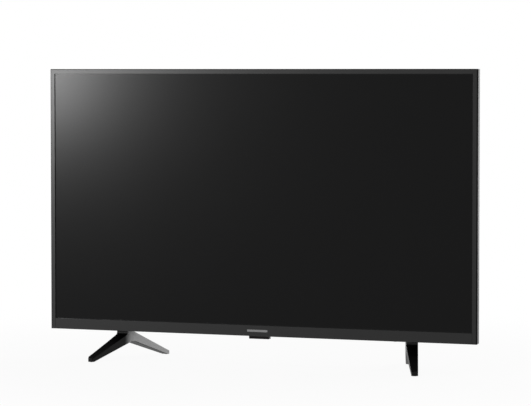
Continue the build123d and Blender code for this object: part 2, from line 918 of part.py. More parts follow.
def socket(size, z, tongue):
    """Box-shaped socket with its mouth on the side of the hump."""
    width, height, depth, mouth_width, mouth_height, mouth_depth = size
    face = -hump_half
    middle = board_back + height / 2
    body = block(face, face + depth, board_back, board_back + height, z - width / 2, z + width / 2)
    body -= block(face - overrun, face + mouth_depth, middle - mouth_height / 2, middle + mouth_height / 2,
                  z - mouth_width / 2, z + mouth_width / 2)
    if tongue:
        tongue_half = mouth_width / 2 - tongue_thickness
        body += block(face + tongue_recess, face + mouth_depth + overrun / 2,
                      middle - tongue_thickness / 2, middle + tongue_thickness / 2,
                      z - tongue_half, z + tongue_half)
    return body


def sockets_named(name, tongue):
    """All sockets of one kind."""
    return group([socket(size, z, tongue) for kind, size, z in terminal_stack()[0] if kind == name])


def headphone_socket():
    """Round socket for a small plug."""
    (size, z), = [(size, z) for kind, size, z in terminal_stack()[0] if kind == "headphone"]
    width, height, depth = size
    middle = board_back + height / 2
    body = block(-hump_half, -hump_half + depth, board_back, board_back + height,
                 z - width / 2, z + width / 2)
    return body - rod_x(headphone_bore, -hump_half - overrun, -hump_half + headphone_reach, middle, z)


def aerial_socket():
    """Screened tuner box with a threaded round stub."""
    (size, z), = [(size, z) for kind, size, z in terminal_stack()[0] if kind == "aerial"]
    width, height, depth = size
    middle = board_back + height / 2
    face = -hump_half
    body = block(face, face + depth, board_back, board_back + height, z - width / 2, z + width / 2)
    body += rod_x(aerial_radius, face - aerial_reach, face + overrun, middle, z)
    tip = face - aerial_reach
    return body - rod_x(aerial_pin_hole, tip - overrun, tip + aerial_pin_depth, middle, z)


def terminal_plate():
    """Thin plate that closes the side of the hump round the sockets."""
    stack, high = terminal_stack()
    plate = block(-hump_half, -hump_half + terminal_plate_thickness,
                  terminal_slot_low + socket_clearance, terminal_slot_high - socket_clearance,
                  terminal_low - terminal_gap + socket_clearance, high - socket_clearance)
    holes = [block(-hump_half - overrun, -hump_half + size[2], board_back - overrun * 2,
                   board_back + size[1] + socket_clearance,
                   z - size[0] / 2 - socket_clearance, z + size[0] / 2 + socket_clearance)
             for kind, size, z in stack]
    return plate - holes


def mains_inlet():
    """Two-pin inlet with rounded ends, its mouth on the right side of the hump."""
    middle_z = inlet_low + inlet_width / 2
    middle_y = board_back + inlet_height / 2
    body = block(hump_half - inlet_depth, hump_half, board_back, board_back + inlet_height,
                 inlet_low, inlet_low + inlet_width)
    radius = inlet_mouth_height / 2
    reach = inlet_mouth_width / 2 - radius
    bottom = hump_half - inlet_mouth_depth
    body -= block(bottom, hump_half + overrun, middle_y - radius, middle_y + radius,
                  middle_z - reach, middle_z + reach)
    for z in (middle_z - reach, middle_z + reach):
        body -= rod_x(radius, bottom, hump_half + overrun, middle_y, z)
    for z in (middle_z - inlet_pin_spacing / 2, middle_z + inlet_pin_spacing / 2):
        body += rod_x(inlet_pin_radius, bottom - overrun, bottom + inlet_pin_reach, middle_y, z)
    return body


# Controls on the back of the band

rocker_axis_y = bulge_back - rocker_axis_inset


def mains_switch():
    """Body of the mains switch with its flange on the cover and its blades in front."""
    body = block(switch_x - switch_width / 2, switch_x + switch_width / 2,
                 bulge_back - switch_depth, bulge_back,
                 switch_z - switch_height / 2, switch_z + switch_height / 2)
    flange_half_width = switch_width / 2 + switch_flange_out
    flange_half_height = switch_height / 2 + switch_flange_out
    flange = block(switch_x - flange_half_width, switch_x + flange_half_width,
                   bulge_back, bulge_back + switch_flange,
                   switch_z - flange_half_height, switch_z + flange_half_height)
    flange = chamfer(flange.faces().sort_by(Axis.Y)[-1].edges(), switch_flange / 2)
    body += flange
    body -= block(switch_x - switch_cavity_width / 2, switch_x + switch_cavity_width / 2,
                  bulge_back - switch_cavity_depth, bulge_back + switch_flange + overrun,
                  switch_z - switch_cavity_height / 2, switch_z + switch_cavity_height / 2)
    pin_reach = rocker_width / 2 + rocker_pin_length + part_gap / 2
    body -= rod_x(rocker_pin_radius + rocker_pin_fit, switch_x - pin_reach, switch_x + pin_reach,
                  rocker_axis_y, switch_z)
    front = bulge_back - switch_depth
    for z in (switch_z - blade_width, switch_z + blade_width):
        body += block(switch_x - blade_width / 2, switch_x + blade_width / 2, front - blade_length, front,
                      z - blade_thickness / 2, z + blade_thickness / 2)
    return body


def mains_rocker():
    """Rocker on two short pins, pressed in at its lower end at rest."""
    back = bulge_back + switch_flange + blade_thickness / 4
    half = rocker_height / 2
    profile = [(back - rocker_thickness, -half), (back - rocker_thickness - rocker_dip, 0),
               (back - rocker_thickness, half), (back, half), (back - rocker_dip, 0), (back, -half)]
    rocker = extrude(outline_yz([(y, switch_z + z) for y, z in profile], switch_x - rocker_width / 2),
                     amount=rocker_width, dir=(1, 0, 0))
    pin_reach = rocker_width / 2 + rocker_pin_length
    rocker += rod_x(rocker_pin_radius, switch_x - pin_reach, switch_x + pin_reach, rocker_axis_y, switch_z)
    pivot = Pos(switch_x, rocker_axis_y, switch_z)
    return pivot * Rot(-rocker_half_swing, 0, 0) * pivot.inverse() * rocker


def button_levels():
    """Heights of the three buttons."""
    return [switch_z - button_pitch, switch_z, switch_z + button_pitch]


key_flange_front = inner_back - key_flange
button_flange_back = key_flange_front - part_gap
button_flange_front = button_flange_back - button_flange
tact_back = button_flange_front - button_travel - tact_margin
key_board_back = tact_back - tact_height


def control_panel():
    """Panel set in the cover, with a hole for each button and posts for the key board."""
    half_w = key_panel_width / 2
    half_h = key_panel_height / 2
    plate = block(panel_x - half_w, panel_x + half_w, key_flange_front, bulge_back,
                  switch_z - half_h, switch_z + half_h)
    plate += block(panel_x - half_w - key_flange_out, panel_x + half_w + key_flange_out,
                   key_flange_front, inner_back,
                   switch_z - half_h - key_flange_out, switch_z + half_h + key_flange_out)
    for z in button_levels():
        plate -= block(panel_x - button_width / 2 - button_clearance,
                       panel_x + button_width / 2 + button_clearance,
                       key_flange_front - overrun, bulge_back + overrun,
                       z - button_height / 2 - button_clearance, z + button_height / 2 + button_clearance)
    for z in (switch_z - half_h + key_post_inset, switch_z + half_h - key_post_inset):
        plate += rod_y(key_post_radius, panel_x, key_board_back, key_flange_front, z)
    return plate


def button(z):
    """Push button with a flange behind the panel."""
    half_w = button_width / 2
    half_h = button_height / 2
    cap = block(panel_x - half_w, panel_x + half_w, button_flange_front, bulge_back + button_proud,
                z - half_h, z + half_h)
    cap = chamfer(cap.faces().sort_by(Axis.Y)[-1].edges(), button_proud / 3)
    flange = block(panel_x - half_w - button_flange_out, panel_x + half_w + button_flange_out,
                   button_flange_front, button_flange_back,
                   z - half_h - button_flange_out, z + half_h + button_flange_out)
    return cap + flange


def key_board():
    """Small board behind the buttons."""
    return block(panel_x - key_board_width / 2, panel_x + key_board_width / 2,
                 key_board_back - key_board_thickness, key_board_back,
                 switch_z - key_board_height / 2, switch_z + key_board_height / 2)


def key_switches():
    """Click switches under the buttons."""
    half = tact_size / 2
    return group([block(panel_x - half, panel_x + half, key_board_back, tact_back - tact_margin,
                        z - half, z + half)
                  + rod_y(half / 2, panel_x, key_board_back, tact_back, z) for z in button_levels()])


# Speakers

gasket_high = cover_low + cover_wall + gasket_thickness
driver_seat = gasket_high + driver_flange


def speaker_box():
    """Hollow box of the right speaker, open at the bottom for its driver."""
    left = speaker_centre_x - speaker_half
    right = speaker_centre_x + speaker_half
    box = block(left, right, speaker_front, speaker_back, driver_seat, speaker_high)
    box = fillet(box.edges().filter_by(Axis.Z), speaker_wall * 2)
    box -= block(left + speaker_wall, right - speaker_wall, speaker_front + speaker_wall,
                 speaker_back - speaker_wall, driver_seat + speaker_wall, speaker_high - speaker_wall)
    return box - rod_z(driver_radius, speaker_centre_x, speaker_centre_y,
                       driver_seat - overrun, driver_seat + speaker_wall + overrun)


def speaker_driver():
    """Driver of the right speaker: flange, cone and magnet."""
    axis = Axis((speaker_centre_x, speaker_centre_y, 0), (0, 0, 1))
    outer = driver_radius + gasket_margin
    bottom = gasket_high
    throat = bottom + driver_flange + cone_depth
    points = [(0, bottom + cone_depth / 2), (dust_cap_radius, bottom + cone_depth / 2 - sheet_thickness),
              (driver_radius - gasket_margin, bottom), (outer, bottom), (outer, driver_seat),
              (driver_radius - part_gap, driver_seat), (magnet_radius, throat),
              (magnet_radius, throat + magnet_height), (0, throat + magnet_height)]
    section = Face(Wire.make_polygon([(speaker_centre_x + r, speaker_centre_y, z) for r, z in points]))
    return revolve(section, axis)


def speaker_gasket():
    """Foam ring between the right driver and the floor of the cover."""
    outer = driver_radius + gasket_margin
    ring = rod_z(outer, speaker_centre_x, speaker_centre_y, cover_low + cover_wall, gasket_high)
    return ring - rod_z(outer - gasket_margin * 2, speaker_centre_x, speaker_centre_y,
                        cover_low + cover_wall - overrun, gasket_high + overrun)


# Receiver

def receiver_window():
    """Dark window that hangs under the cabinet, with a flange on the cover's floor."""
    half = receiver_width / 2
    low = cabinet_low - receiver_drop
    high = cover_low + cover_wall
    points = [(-half + receiver_taper, low), (half - receiver_taper, low), (half, low + receiver_taper),
              (half, high), (-half, high), (-half, low + receiver_taper)]
    window = extrude(outline_xz(points, receiver_front), amount=receiver_back - receiver_front, dir=(0, 1, 0))
    flange = block(-half - receiver_flange_out, half + receiver_flange_out,
                   receiver_front - part_gap, receiver_back + receiver_flange_out,
                   high, high + receiver_flange)
    return window + flange


receiver_top = cover_low + cover_wall + receiver_flange


def receiver_board():
    """Upright board on the receiver window."""
    return block(-receiver_board_half, receiver_board_half, receiver_board_front,
                 receiver_board_front + key_board_thickness,
                 receiver_top, receiver_top + receiver_board_height)


def receiver_sensors():
    """Remote-control eye, light sensor and standby lamp on their board."""
    front = receiver_board_front
    size = tact_size
    eye = block(-size, 0, front - size / 2, front, receiver_top + part_gap, receiver_top + size)
    light = block(size, size * 2, front - size / 3, front, receiver_top + part_gap, receiver_top + size / 2)
    lamp = rod_y(size / 4, -size * 2, front - size / 2, front, receiver_top + size / 2)
    return group([eye, light, lamp])


wireless_inset = 45.0
wireless_drop = 46.0
wireless_x = wireless_inset - band_half
wireless_z = band_top - wireless_drop
wireless_width = 32.0
wireless_height = 20.0
wireless_can = 2.4


def wireless_board():
    """Small radio board with its screening can, on the pan."""
    half = wireless_width / 2
    card = block(wireless_x - half, wireless_x + half, pan_back, pan_back + key_board_thickness,
                 wireless_z, wireless_z + wireless_height)
    inset = wireless_can
    return card + block(wireless_x - half + inset, wireless_x + inset, pan_back + key_board_thickness,
                        pan_back + key_board_thickness + wireless_can,
                        wireless_z + inset, wireless_z + wireless_height - inset)


# Feet

def foot_side(toe_x, toe_y, toe_thickness):
    """Unit direction of a leg in plan, its outward normal, its length and its outer toe corner."""
    length = hypot(toe_x - fold_x, toe_y - fold_y)
    along = ((toe_x - fold_x) / length, (toe_y - fold_y) / length)
    normal = (abs(along[1]), along[0] if along[1] < 0 else -along[0])
    corner = (toe_x + normal[0] * toe_thickness, toe_y + normal[1] * toe_thickness)
    return along, normal, length, corner


def foot_blade():
    """Bent blade of the right foot: a plan outline and a side outline, each cut through the other."""
    along_f, normal_f, length_f, corner_f = foot_side(front_toe_x, front_toe_y, front_toe_thickness)
    along_r, normal_r, length_r, corner_r = foot_side(rear_toe_x, rear_toe_y, rear_toe_thickness)
    hub_normal = Vector(normal_f[0] + normal_r[0], normal_f[1] + normal_r[1]).normalized()
    hub_corner = (fold_x + hub_normal.X * hub_thickness, fold_y + hub_normal.Y * hub_thickness)
    plan = Face(Wire.make_polygon([(x, y, pad_height / 2) for x, y in (
        (front_toe_x, front_toe_y), (fold_x, fold_y), (rear_toe_x, rear_toe_y),
        corner_r, hub_corner, corner_f)]))
    prism = extrude(plan, amount=floor_gap - pad_height / 2, dir=(0, 0, 1))
    uprights = prism.edges().filter_by(Axis.Z)
    toes = [edge for edge in uprights if abs(edge.center().Y - fold_y) > hub_thickness * 2]
    prism = fillet(toes, toe_round / 2)
    prism = fillet([edge for edge in prism.edges().filter_by(Axis.Z)
                    if abs(edge.center().Y - fold_y) < hub_thickness], hub_thickness)
    return prism & foot_elevation(along_f, length_f, along_r, length_r)


def foot_elevation(along_f, length_f, along_r, length_r):
    """Side view of the foot as a thick slab: an inverted V with round toes."""
    def place(run, along):
        return fold_y + run * along[1]
    front_end = place(length_f + toe_round / 4, along_f)
    rear_end = place(length_r + toe_round / 4, along_r)
    sole = pad_height / 2
    front_top = place(front_top_run, along_f)
    rear_top = place(rear_top_run, along_r)
    points = [(front_end, sole), (front_end, toe_height), (front_top, floor_gap - front_neck),
              (front_top, floor_gap), (rear_top, floor_gap), (rear_top, floor_gap - rear_neck),
              (rear_end, toe_height), (rear_end, sole),
              (place(length_r - rear_sole_length, along_r), sole), (fold_y, arch_height),
              (place(length_f - front_sole_length, along_f), sole)]
    reach = front_toe_x - rear_toe_x + hub_thickness * 2
    slab = extrude(outline_yz(points, rear_toe_x - hub_thickness), amount=reach, dir=(1, 0, 0))
    across = slab.edges().filter_by(Axis.X)
    slab = fillet([edge for edge in across if abs(edge.center().Z - toe_height) < sole], toe_round)
    across = slab.edges().filter_by(Axis.X)
    slab = fillet([edge for edge in across if abs(edge.center().Z - floor_gap + front_neck) < sole], neck_round)
    across = slab.edges().filter_by(Axis.X)
    slab = fillet([edge for edge in across if edge.center().Z < pad_height
                   and (edge.center().Y < front_end + pad_height or edge.center().Y > rear_end - pad_height)],
                  sole_round)
    across = slab.edges().filter_by(Axis.X)
    return fillet([edge for edge in across if abs(edge.center().Z - arch_height) < sole], arch_round)


def pad_box(toe_x, toe_y, toe_thickness, back, margin, low, high):
    """Upright box in line with a leg, a set way back from its toe."""
    along, normal, length, corner = foot_side(toe_x, toe_y, toe_thickness)
    centre_x = toe_x - along[0] * back + normal[0] * (toe_thickness / 2 + back / length)
    centre_y = toe_y - along[1] * back + normal[1] * (toe_thickness / 2 + back / length)
    turn = degrees(atan2(along[1], along[0]))
    return (Pos(centre_x, centre_y, (low + high) / 2) * Rot(0, 0, turn)
            * Box(pad_length + margin * 2, pad_width + margin * 2, high - low))


def right_foot():
    """Right foot: the blade with the plate that fastens it under the cabinet."""
    centre_x, centre_y = foot_centre()
    plate = block(centre_x - foot_plate_half_width, centre_x + foot_plate_half_width,
                  foot_plate_front, foot_plate_back, floor_gap, floor_gap + foot_plate_thickness)
    plate = fillet(plate.edges().filter_by(Axis.Z), foot_screw_inset / 2)
    foot = foot_blade() + plate
    for x, y in foot_screw_places():
        foot -= rod_z(foot_screw_radius + socket_clearance, x, y, floor_gap - overrun,
                      floor_gap + foot_plate_thickness + overrun)
    pad_cuts = [pad_box(front_toe_x, front_toe_y, front_toe_thickness, pad_back_front, 0,
                        0, pad_height),
                pad_box(rear_toe_x, rear_toe_y, rear_toe_thickness, pad_back_rear, 0, 0, pad_height)]
    return foot - pad_cuts


def foot_pads():
    """Rubber pads under all four toes."""
    right = [pad_box(front_toe_x, front_toe_y, front_toe_thickness, pad_back_front, 0, 0, pad_height),
             pad_box(rear_toe_x, rear_toe_y, rear_toe_thickness, pad_back_rear, 0, 0, pad_height)]
    return group(right + [mirrored(pad) for pad in right])


def foot_screw_places():
    """Two screws at opposite corners of the right foot plate."""
    centre_x, centre_y = foot_centre()
    reach = foot_plate_half_width - foot_screw_inset
    return [(centre_x - reach, foot_plate_front + foot_screw_inset),
            (centre_x + reach, foot_plate_back - foot_screw_inset)]


def foot_screws():
    """Screws that hold both feet, driven from below."""
    screws = []
    for x, y in foot_screw_places():
        screw = rod_z(foot_screw_radius, x, y, floor_gap, floor_gap + foot_screw_length)
        screw += rod_z(foot_screw_head_radius, x, y, floor_gap - foot_screw_head_height, floor_gap)
        screws += [screw, mirrored(screw)]
    return group(screws)


bracket_low = floor_gap + foot_plate_thickness


def foot_bracket():
    """Steel angle on the pan that the right foot is screwed to."""
    centre_x, centre_y = foot_centre()
    half = foot_plate_half_width + part_gap * 2
    base = block(centre_x - half, centre_x + half, bracket_front, foot_plate_back + part_gap * 2,
                 bracket_low, bracket_low + bracket_thickness)
    upright = block(centre_x - bracket_half_width, centre_x + bracket_half_width,
                    pan_back, pan_back + bracket_thickness, bracket_low, bracket_low + bracket_height)
    bracket = base + upright
    return bracket - [rod_z(foot_screw_radius + screw_fit, x, y, bracket_low - overrun,
                            bracket_low + bracket_thickness + overrun) for x, y in foot_screw_places()]


# Wiring inside

connector_height = 6.0
connector_depth = 4.0


def flat_cable():
    """Ribbon from the lower edge of the main board to the source board."""
    top = board_low + connector_height
    back = board_back + connector_depth / 2
    path = Polyline((back, top), (back, speaker_high), (speaker_front, cavity_low),
                    (receiver_board_front, cable_level), (source_front + source_board_thickness, cable_level))
    strip = trace(path, flat_cable_thickness)
    side = Plane(origin=(flat_cable_x - flat_cable_width / 2, 0, 0), x_dir=(0, 1, 0), z_dir=(1, 0, 0))
    strip = side * strip
    return extrude(strip, amount=flat_cable_width, dir=(1, 0, 0))


def speaker_leads():
    """Leads from the lower edge of the main board to both speakers."""
    near_x = -speaker_centre_x + speaker_half / 4
    far_x = speaker_centre_x - speaker_half / 4
    start_x = -board_inner - flat_cable_width * 2
    near = lead([(near_x, board_lead_y, board_low), (near_x, board_lead_y, speaker_lead_z),
                 (near_x, speaker_centre_y, speaker_high + lead_rise),
                 (near_x, speaker_centre_y, speaker_high)], speaker_lead_radius)
    far = lead([(start_x, board_lead_y, board_low), (start_x, board_lead_y, board_low - lead_rise),
                (start_x + lead_rise * 2, speaker_lead_y, speaker_lead_z),
                (far_x - lead_rise, speaker_lead_y, speaker_lead_z),
                (far_x, speaker_centre_y, speaker_high + lead_rise),
                (far_x, speaker_centre_y, speaker_high)], speaker_lead_radius)
    return group([near, far])


def power_leads():
    """Leads from the power board to the main board, to the mains switch and to the light bars."""
    reach = board_inner - lead_rise * 2
    low = power_lead_z - power_lead_dip
    supply = lead([(board_inner, board_lead_y, power_lead_z), (reach, board_lead_y, power_lead_z),
                   (reach / 2, board_lead_y, low), (-reach / 2, board_lead_y, low),
                   (-reach, board_lead_y, power_lead_z), (-board_inner, board_lead_y, power_lead_z)],
                  power_lead_radius)
    switch_front = bulge_back - switch_depth
    mains = lead([(switch_x, switch_front, switch_z), (switch_x, board_lead_y, switch_z),
                  (hump_half, board_lead_y, speaker_lead_z), (speaker_centre_x, board_lead_y, speaker_lead_z),
                  (speaker_centre_x, board_lead_y, board_low)], power_lead_radius)
    bar_z = bar_levels()[2]
    light_z = board_low + board_height - lead_rise * 2
    lights = lead([(light_lead_x, pan_back - pan_steel, bar_z), (light_lead_x, board_lead_y, bar_z),
                   (light_lead_x, board_lead_y, bar_z - lead_rise),
                   (light_lead_x + lead_rise, board_lead_y, light_z),
                   (board_inner, board_lead_y, light_z)], signal_lead_radius)
    return group([supply, mains, lights])


def control_leads():
    """Leads from the receiver board and the key board to the main board."""
    receiver_back_face = receiver_board_front + key_board_thickness
    low = receiver_top + receiver_board_height / 2
    end_x = -board_inner - board_edge
    eye = lead([(receiver_board_half / 2, receiver_back_face, low),
                (receiver_board_half / 2, speaker_front, low),
                (receiver_board_half / 2, board_lead_y, low + lead_rise * 2),
                (-receiver_board_half, board_lead_y, key_lead_z - lead_rise / 3),
                (end_x, board_lead_y, key_lead_z), (end_x, board_lead_y, board_low)],
               signal_lead_radius)
    board_face = key_board_back - key_board_thickness
    key_x = -board_outer + board_width / 3
    keys = lead([(panel_x, board_face, switch_z + button_pitch),
                 (panel_x, key_lead_y, switch_z + button_pitch),
                 (panel_x - lead_rise, key_lead_y, key_lead_z), (key_x, key_lead_y, key_lead_z),
                 (key_x, board_lead_y, key_lead_z + lead_rise / 2), (key_x, board_lead_y, board_low)],
                signal_lead_radius)
    return group([eye, keys])


def cable_clips():
    """Saddles on the pan that hold the long speaker lead."""
    outer = speaker_lead_radius + clip_wall
    return group([block(x - clip_length / 2, x + clip_length / 2, pan_back, speaker_lead_y + outer,
                        speaker_lead_z - outer, speaker_lead_z + outer)
                  - rod_x(speaker_lead_radius + screw_fit, x - clip_length, x + clip_length,
                          speaker_lead_y, speaker_lead_z)
                  for x in clip_places])


nodes = {
    "bezel_frame": bezel_frame(),
    "bottom_bezel": bottom_bezel(),
    "badge_bar": badge_bar(),
    "lcd_panel": lcd_panel(),
    "middle_frame": middle_frame(),
    "optical_sheets": optical_sheets(),
    "diffuser_plate": diffuser_plate(),
    "diffuser_posts": diffuser_posts(),
    "reflector_sheet": reflector_sheet(),
    "led_bars": led_bars(),
    "led_lenses": led_lenses(),
    "back_pan": back_pan(),
    "source_boards": source_boards(),
    "panel_films": panel_films(),
    "rear_cover": rear_cover(),
    "vesa_spacers": vesa_spacers(),
    "main_board": board(-1),
    "power_board": board(1),
    "board_spacers": board_spacers(),
    "board_screws": board_screws(),
    "cover_screws": cover_screws(),
    "main_chips": main_chips(),
    "chip_heat_sink": chip_sink(),
    "transformers": transformers(),
    "capacitors": capacitors(),
    "power_heat_sink": power_sink(),
    "hdmi_sockets": sockets_named("hdmi", True),
    "usb_sockets": sockets_named("usb", True),
    "network_socket": sockets_named("lan", False),
    "optical_socket": sockets_named("optical", False),
    "card_slot": sockets_named("card", False),
    "headphone_socket": headphone_socket(),
    "aerial_socket": aerial_socket(),
    "terminal_plate": terminal_plate(),
    "mains_inlet": mains_inlet(),
    "mains_switch": mains_switch(),
    "mains_rocker": mains_rocker(),
    "control_panel": control_panel(),
    "button_function": button(button_levels()[2]),
    "button_up": button(button_levels()[1]),
    "button_down": button(button_levels()[0]),
    "key_board": key_board(),
    "key_switches": key_switches(),
    "speaker_boxes": group([speaker_box(), mirrored(speaker_box())]),
    "speaker_drivers": group([speaker_driver(), mirrored(speaker_driver())]),
    "speaker_gaskets": group([speaker_gasket(), mirrored(speaker_gasket())]),
    "receiver_window": receiver_window(),
    "receiver_board": receiver_board(),
    "receiver_sensors": receiver_sensors(),
    "wireless_board": wireless_board(),
    "right_foot": right_foot(),
    "left_foot": mirrored(right_foot()),
    "foot_pads": foot_pads(),
    "foot_screws": foot_screws(),
    "foot_brackets": group([foot_bracket(), mirrored(foot_bracket())]),
    "flat_cable": flat_cable(),
    "speaker_leads": speaker_leads(),
    "power_leads": power_leads(),
    "control_leads": control_leads(),
    "cable_clips": cable_clips(),
}

foot_box = nodes["right_foot"].bounding_box()
front_shift = -(foot_box.min.Y + foot_box.max.Y) / 2
print("front plane at Y", round(front_shift, 3))

os.makedirs("parts", exist_ok=True)
for node, shape in nodes.items():
    export_step(Pos(0, front_shift, 0) * shape, f"parts/{node}.step")
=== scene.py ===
import bmesh
import bpy
import json
from math import pi, radians
from mathutils import Matrix, Vector

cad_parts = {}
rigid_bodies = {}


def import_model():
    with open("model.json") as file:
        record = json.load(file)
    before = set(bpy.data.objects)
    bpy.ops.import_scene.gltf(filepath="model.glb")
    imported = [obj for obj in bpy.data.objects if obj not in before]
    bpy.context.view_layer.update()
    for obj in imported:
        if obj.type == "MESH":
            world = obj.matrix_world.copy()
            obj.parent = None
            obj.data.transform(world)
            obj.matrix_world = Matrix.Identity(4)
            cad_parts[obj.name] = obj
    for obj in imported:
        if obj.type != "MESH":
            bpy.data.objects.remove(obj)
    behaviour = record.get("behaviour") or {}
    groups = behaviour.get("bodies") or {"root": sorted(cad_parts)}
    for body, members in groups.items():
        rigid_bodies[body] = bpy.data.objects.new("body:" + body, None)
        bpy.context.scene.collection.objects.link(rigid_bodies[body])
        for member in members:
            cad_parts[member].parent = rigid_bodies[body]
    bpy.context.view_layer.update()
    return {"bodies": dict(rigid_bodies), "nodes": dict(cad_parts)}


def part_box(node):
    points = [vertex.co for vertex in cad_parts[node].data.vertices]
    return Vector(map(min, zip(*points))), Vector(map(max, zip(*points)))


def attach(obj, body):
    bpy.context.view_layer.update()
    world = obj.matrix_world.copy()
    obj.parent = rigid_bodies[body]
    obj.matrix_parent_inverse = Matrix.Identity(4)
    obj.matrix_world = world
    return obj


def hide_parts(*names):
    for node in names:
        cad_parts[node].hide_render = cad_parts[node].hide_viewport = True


# Flat screen television on two feet. Metres. X runs to the viewer's right, Y from front to back, Z up.
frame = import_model()

mm = 0.001

# Corners closer than this are one corner, and faces that differ by less than this are one face
weld_distance = 0.002 * mm
flat_angle = radians(0.6)

# Edges that turn by more than the first are rounded, and by less than the second are shaded smooth
sharp_angle = radians(32)
smooth_angle = radians(33)

white = (1, 1, 1, 1)


# Shader tools

class Value:
    """A number on a socket. Arithmetic on it adds Math nodes to the same tree."""

    def __init__(self, tree, socket):
        self.tree = tree
        self.socket = socket

    def __add__(self, other):
        return self.tree.math("ADD", self, other)

    def __sub__(self, other):
        return self.tree.math("SUBTRACT", self, other)

    def __rsub__(self, other):
        return self.tree.math("SUBTRACT", other, self)

    def __mul__(self, other):
        return self.tree.math("MULTIPLY", self, other)

    def __truediv__(self, other):
        return self.tree.math("DIVIDE", self, other)

    def __rtruediv__(self, other):
        return self.tree.math("DIVIDE", other, self)

    def __lt__(self, other):
        return self.tree.math("LESS_THAN", self, other)

    def __gt__(self, other):
        return self.tree.math("GREATER_THAN", self, other)

    __radd__ = __add__
    __rmul__ = __mul__


def linear(share):
    """Linear light of an encoded screen level."""
    return share / 12.92 if share <= 0.04045 else ((share + 0.055) / 1.055) ** 2.4


def colour(red, green, blue):
    """Linear colour of screen levels from 0 to 255."""
    return tuple(linear(level / 255) for level in (red, green, blue)) + (1.0,)


def grey(level):
    """Linear colour of a neutral screen level from 0 to 255."""
    return colour(level, level, level)


class NodeTree:
    """Adds nodes to the tree of a material or of the world."""

    def __init__(self, tree):
        self.nodes = tree.nodes
        self.links = tree.links
        self.nodes.clear()

    def node(self, kind, settings=None, sockets=None, output=0):
        """Adds a node: its settings first, then the values or links of its sockets. Returns one output."""
        added = self.nodes.new("ShaderNode" + kind)
        for name, value in (settings or {}).items():
            setattr(added, name, value)
        for name, value in (sockets or {}).items():
            if isinstance(value, Value):
                self.links.new(value.socket, added.inputs[name])
            else:
                added.inputs[name].default_value = value
        return Value(self, added.outputs[output]) if added.outputs else None

    def math(self, operation, first, second=0.0):
        """A Math node on one or two values."""
        return self.node("Math", {"operation": operation}, {0: first, 1: second})

    def either(self, first, second):
        """The larger of two values, or 1 where either mask is 1."""
        return self.math("MAXIMUM", first, second)

    def direct_rays(self):
        """1 for the rays that see the background as the camera does: straight, mirrored or through glass."""
        seen = self.node("LightPath", output="Is Camera Ray")
        mirrored = self.node("LightPath", output="Is Glossy Ray")
        through = self.node("LightPath", output="Is Transmission Ray")
        return self.either(self.either(seen, mirrored), through)


class Finish(NodeTree):
    """A material made of nodes on Object coordinates, in metres."""

    def __init__(self, name):
        self.material = bpy.data.materials.new(name)
        self.material.use_nodes = True
        super().__init__(self.material.node_tree)

    def place(self):
        """Position on the piece."""
        return self.node("TexCoord", output="Object")

    def axis(self, letter):
        """One coordinate of the position on the piece."""
        return self.node("SeparateXYZ", {}, {0: self.place()}, output=letter)

    def off_middle(self):
        """Distance from the plane that halves the set into left and right."""
        return self.math("ABSOLUTE", self.axis("X"))

    def stretched(self, x, y, z):
        """Position with each axis scaled, for patterns that run one way."""
        return self.node("VectorMath", {"operation": "MULTIPLY"}, {0: self.place(), 1: (x, y, z)})

    def noise(self, size, detail=2.0, vector=None):
        """Soft noise with cells of a size in metres."""
        sockets = {"Vector": vector or self.place(), "Scale": 1 / size, "Detail": detail}
        return self.node("TexNoise", {}, sockets)

    def cells(self, size):
        """Distance from the middles of the cells of a pattern."""
        return self.node("TexVoronoi", {}, {"Vector": self.place(), "Scale": 1 / size}, output="Distance")

    def stripes(self, letter, pitch, width_share):
        """1 on stripes across one axis, 0 between them."""
        turns = self.axis(letter) / pitch
        return self.math("FRACT", turns) < width_share

    def ramp(self, value, low, high, **ends):
        """A smooth step between two limits of a value, from 0 to 1 or between the ends that are given."""
        sockets = {"Value": value, "From Min": low, "From Max": high}
        sockets.update((name.replace("_", " "), end) for name, end in ends.items())
        return self.node("MapRange", {"interpolation_type": "SMOOTHSTEP"}, sockets)

    def blend(self, mask, first, second):
        """Colour that goes from the first to the second with the mask."""
        return self.node("Mix", {"data_type": "RGBA"}, {0: mask, 6: first, 7: second}, output=2)

    def bump(self, height, depth):
        """Surface relief of a depth in metres."""
        return self.node("Bump", {}, {"Height": height, "Distance": depth})

    def shader(self, **sockets):
        """A Principled surface."""
        named = {name.replace("_", " "): value for name, value in sockets.items()}
        return self.node("BsdfPrincipled", {}, named)

    def closed(self, shader):
        """The material, with a shader as its surface."""
        self.node("OutputMaterial", {}, {"Surface": shader})
        return self.material

    def surface(self, **sockets):
        """The material, with one Principled surface."""
        return self.closed(self.shader(**sockets))


# Finishes

# Patterns that several finishes share: the slow change of tone, the marks of handling and the grain
tone_size = 110 * mm
mark_size = 30 * mm
mark_detail = 6.0
grain_detail = 3.0


def moulded(name, dark, light, roughness, grain, depth, level=0.5):
    """Moulded plastic: a fine spark-eroded grain, a slow change of tone and faint handling marks."""
    pit_size = grain * 1.7
    smudge = 0.05
    finish = Finish(name)
    fine = finish.noise(grain, grain_detail)
    pits = finish.cells(pit_size)
    slow = finish.noise(tone_size)
    marks = finish.noise(mark_size, mark_detail)
    tone = finish.blend(slow * 0.7 + fine * 0.3, dark, light)
    rough = marks * smudge + pits * smudge + (roughness - smudge)
    relief = finish.bump(fine * 0.6 + pits * 0.4, depth)
    return finish.surface(Base_Color=tone, Roughness=rough, Normal=relief, Specular_IOR_Level=level)


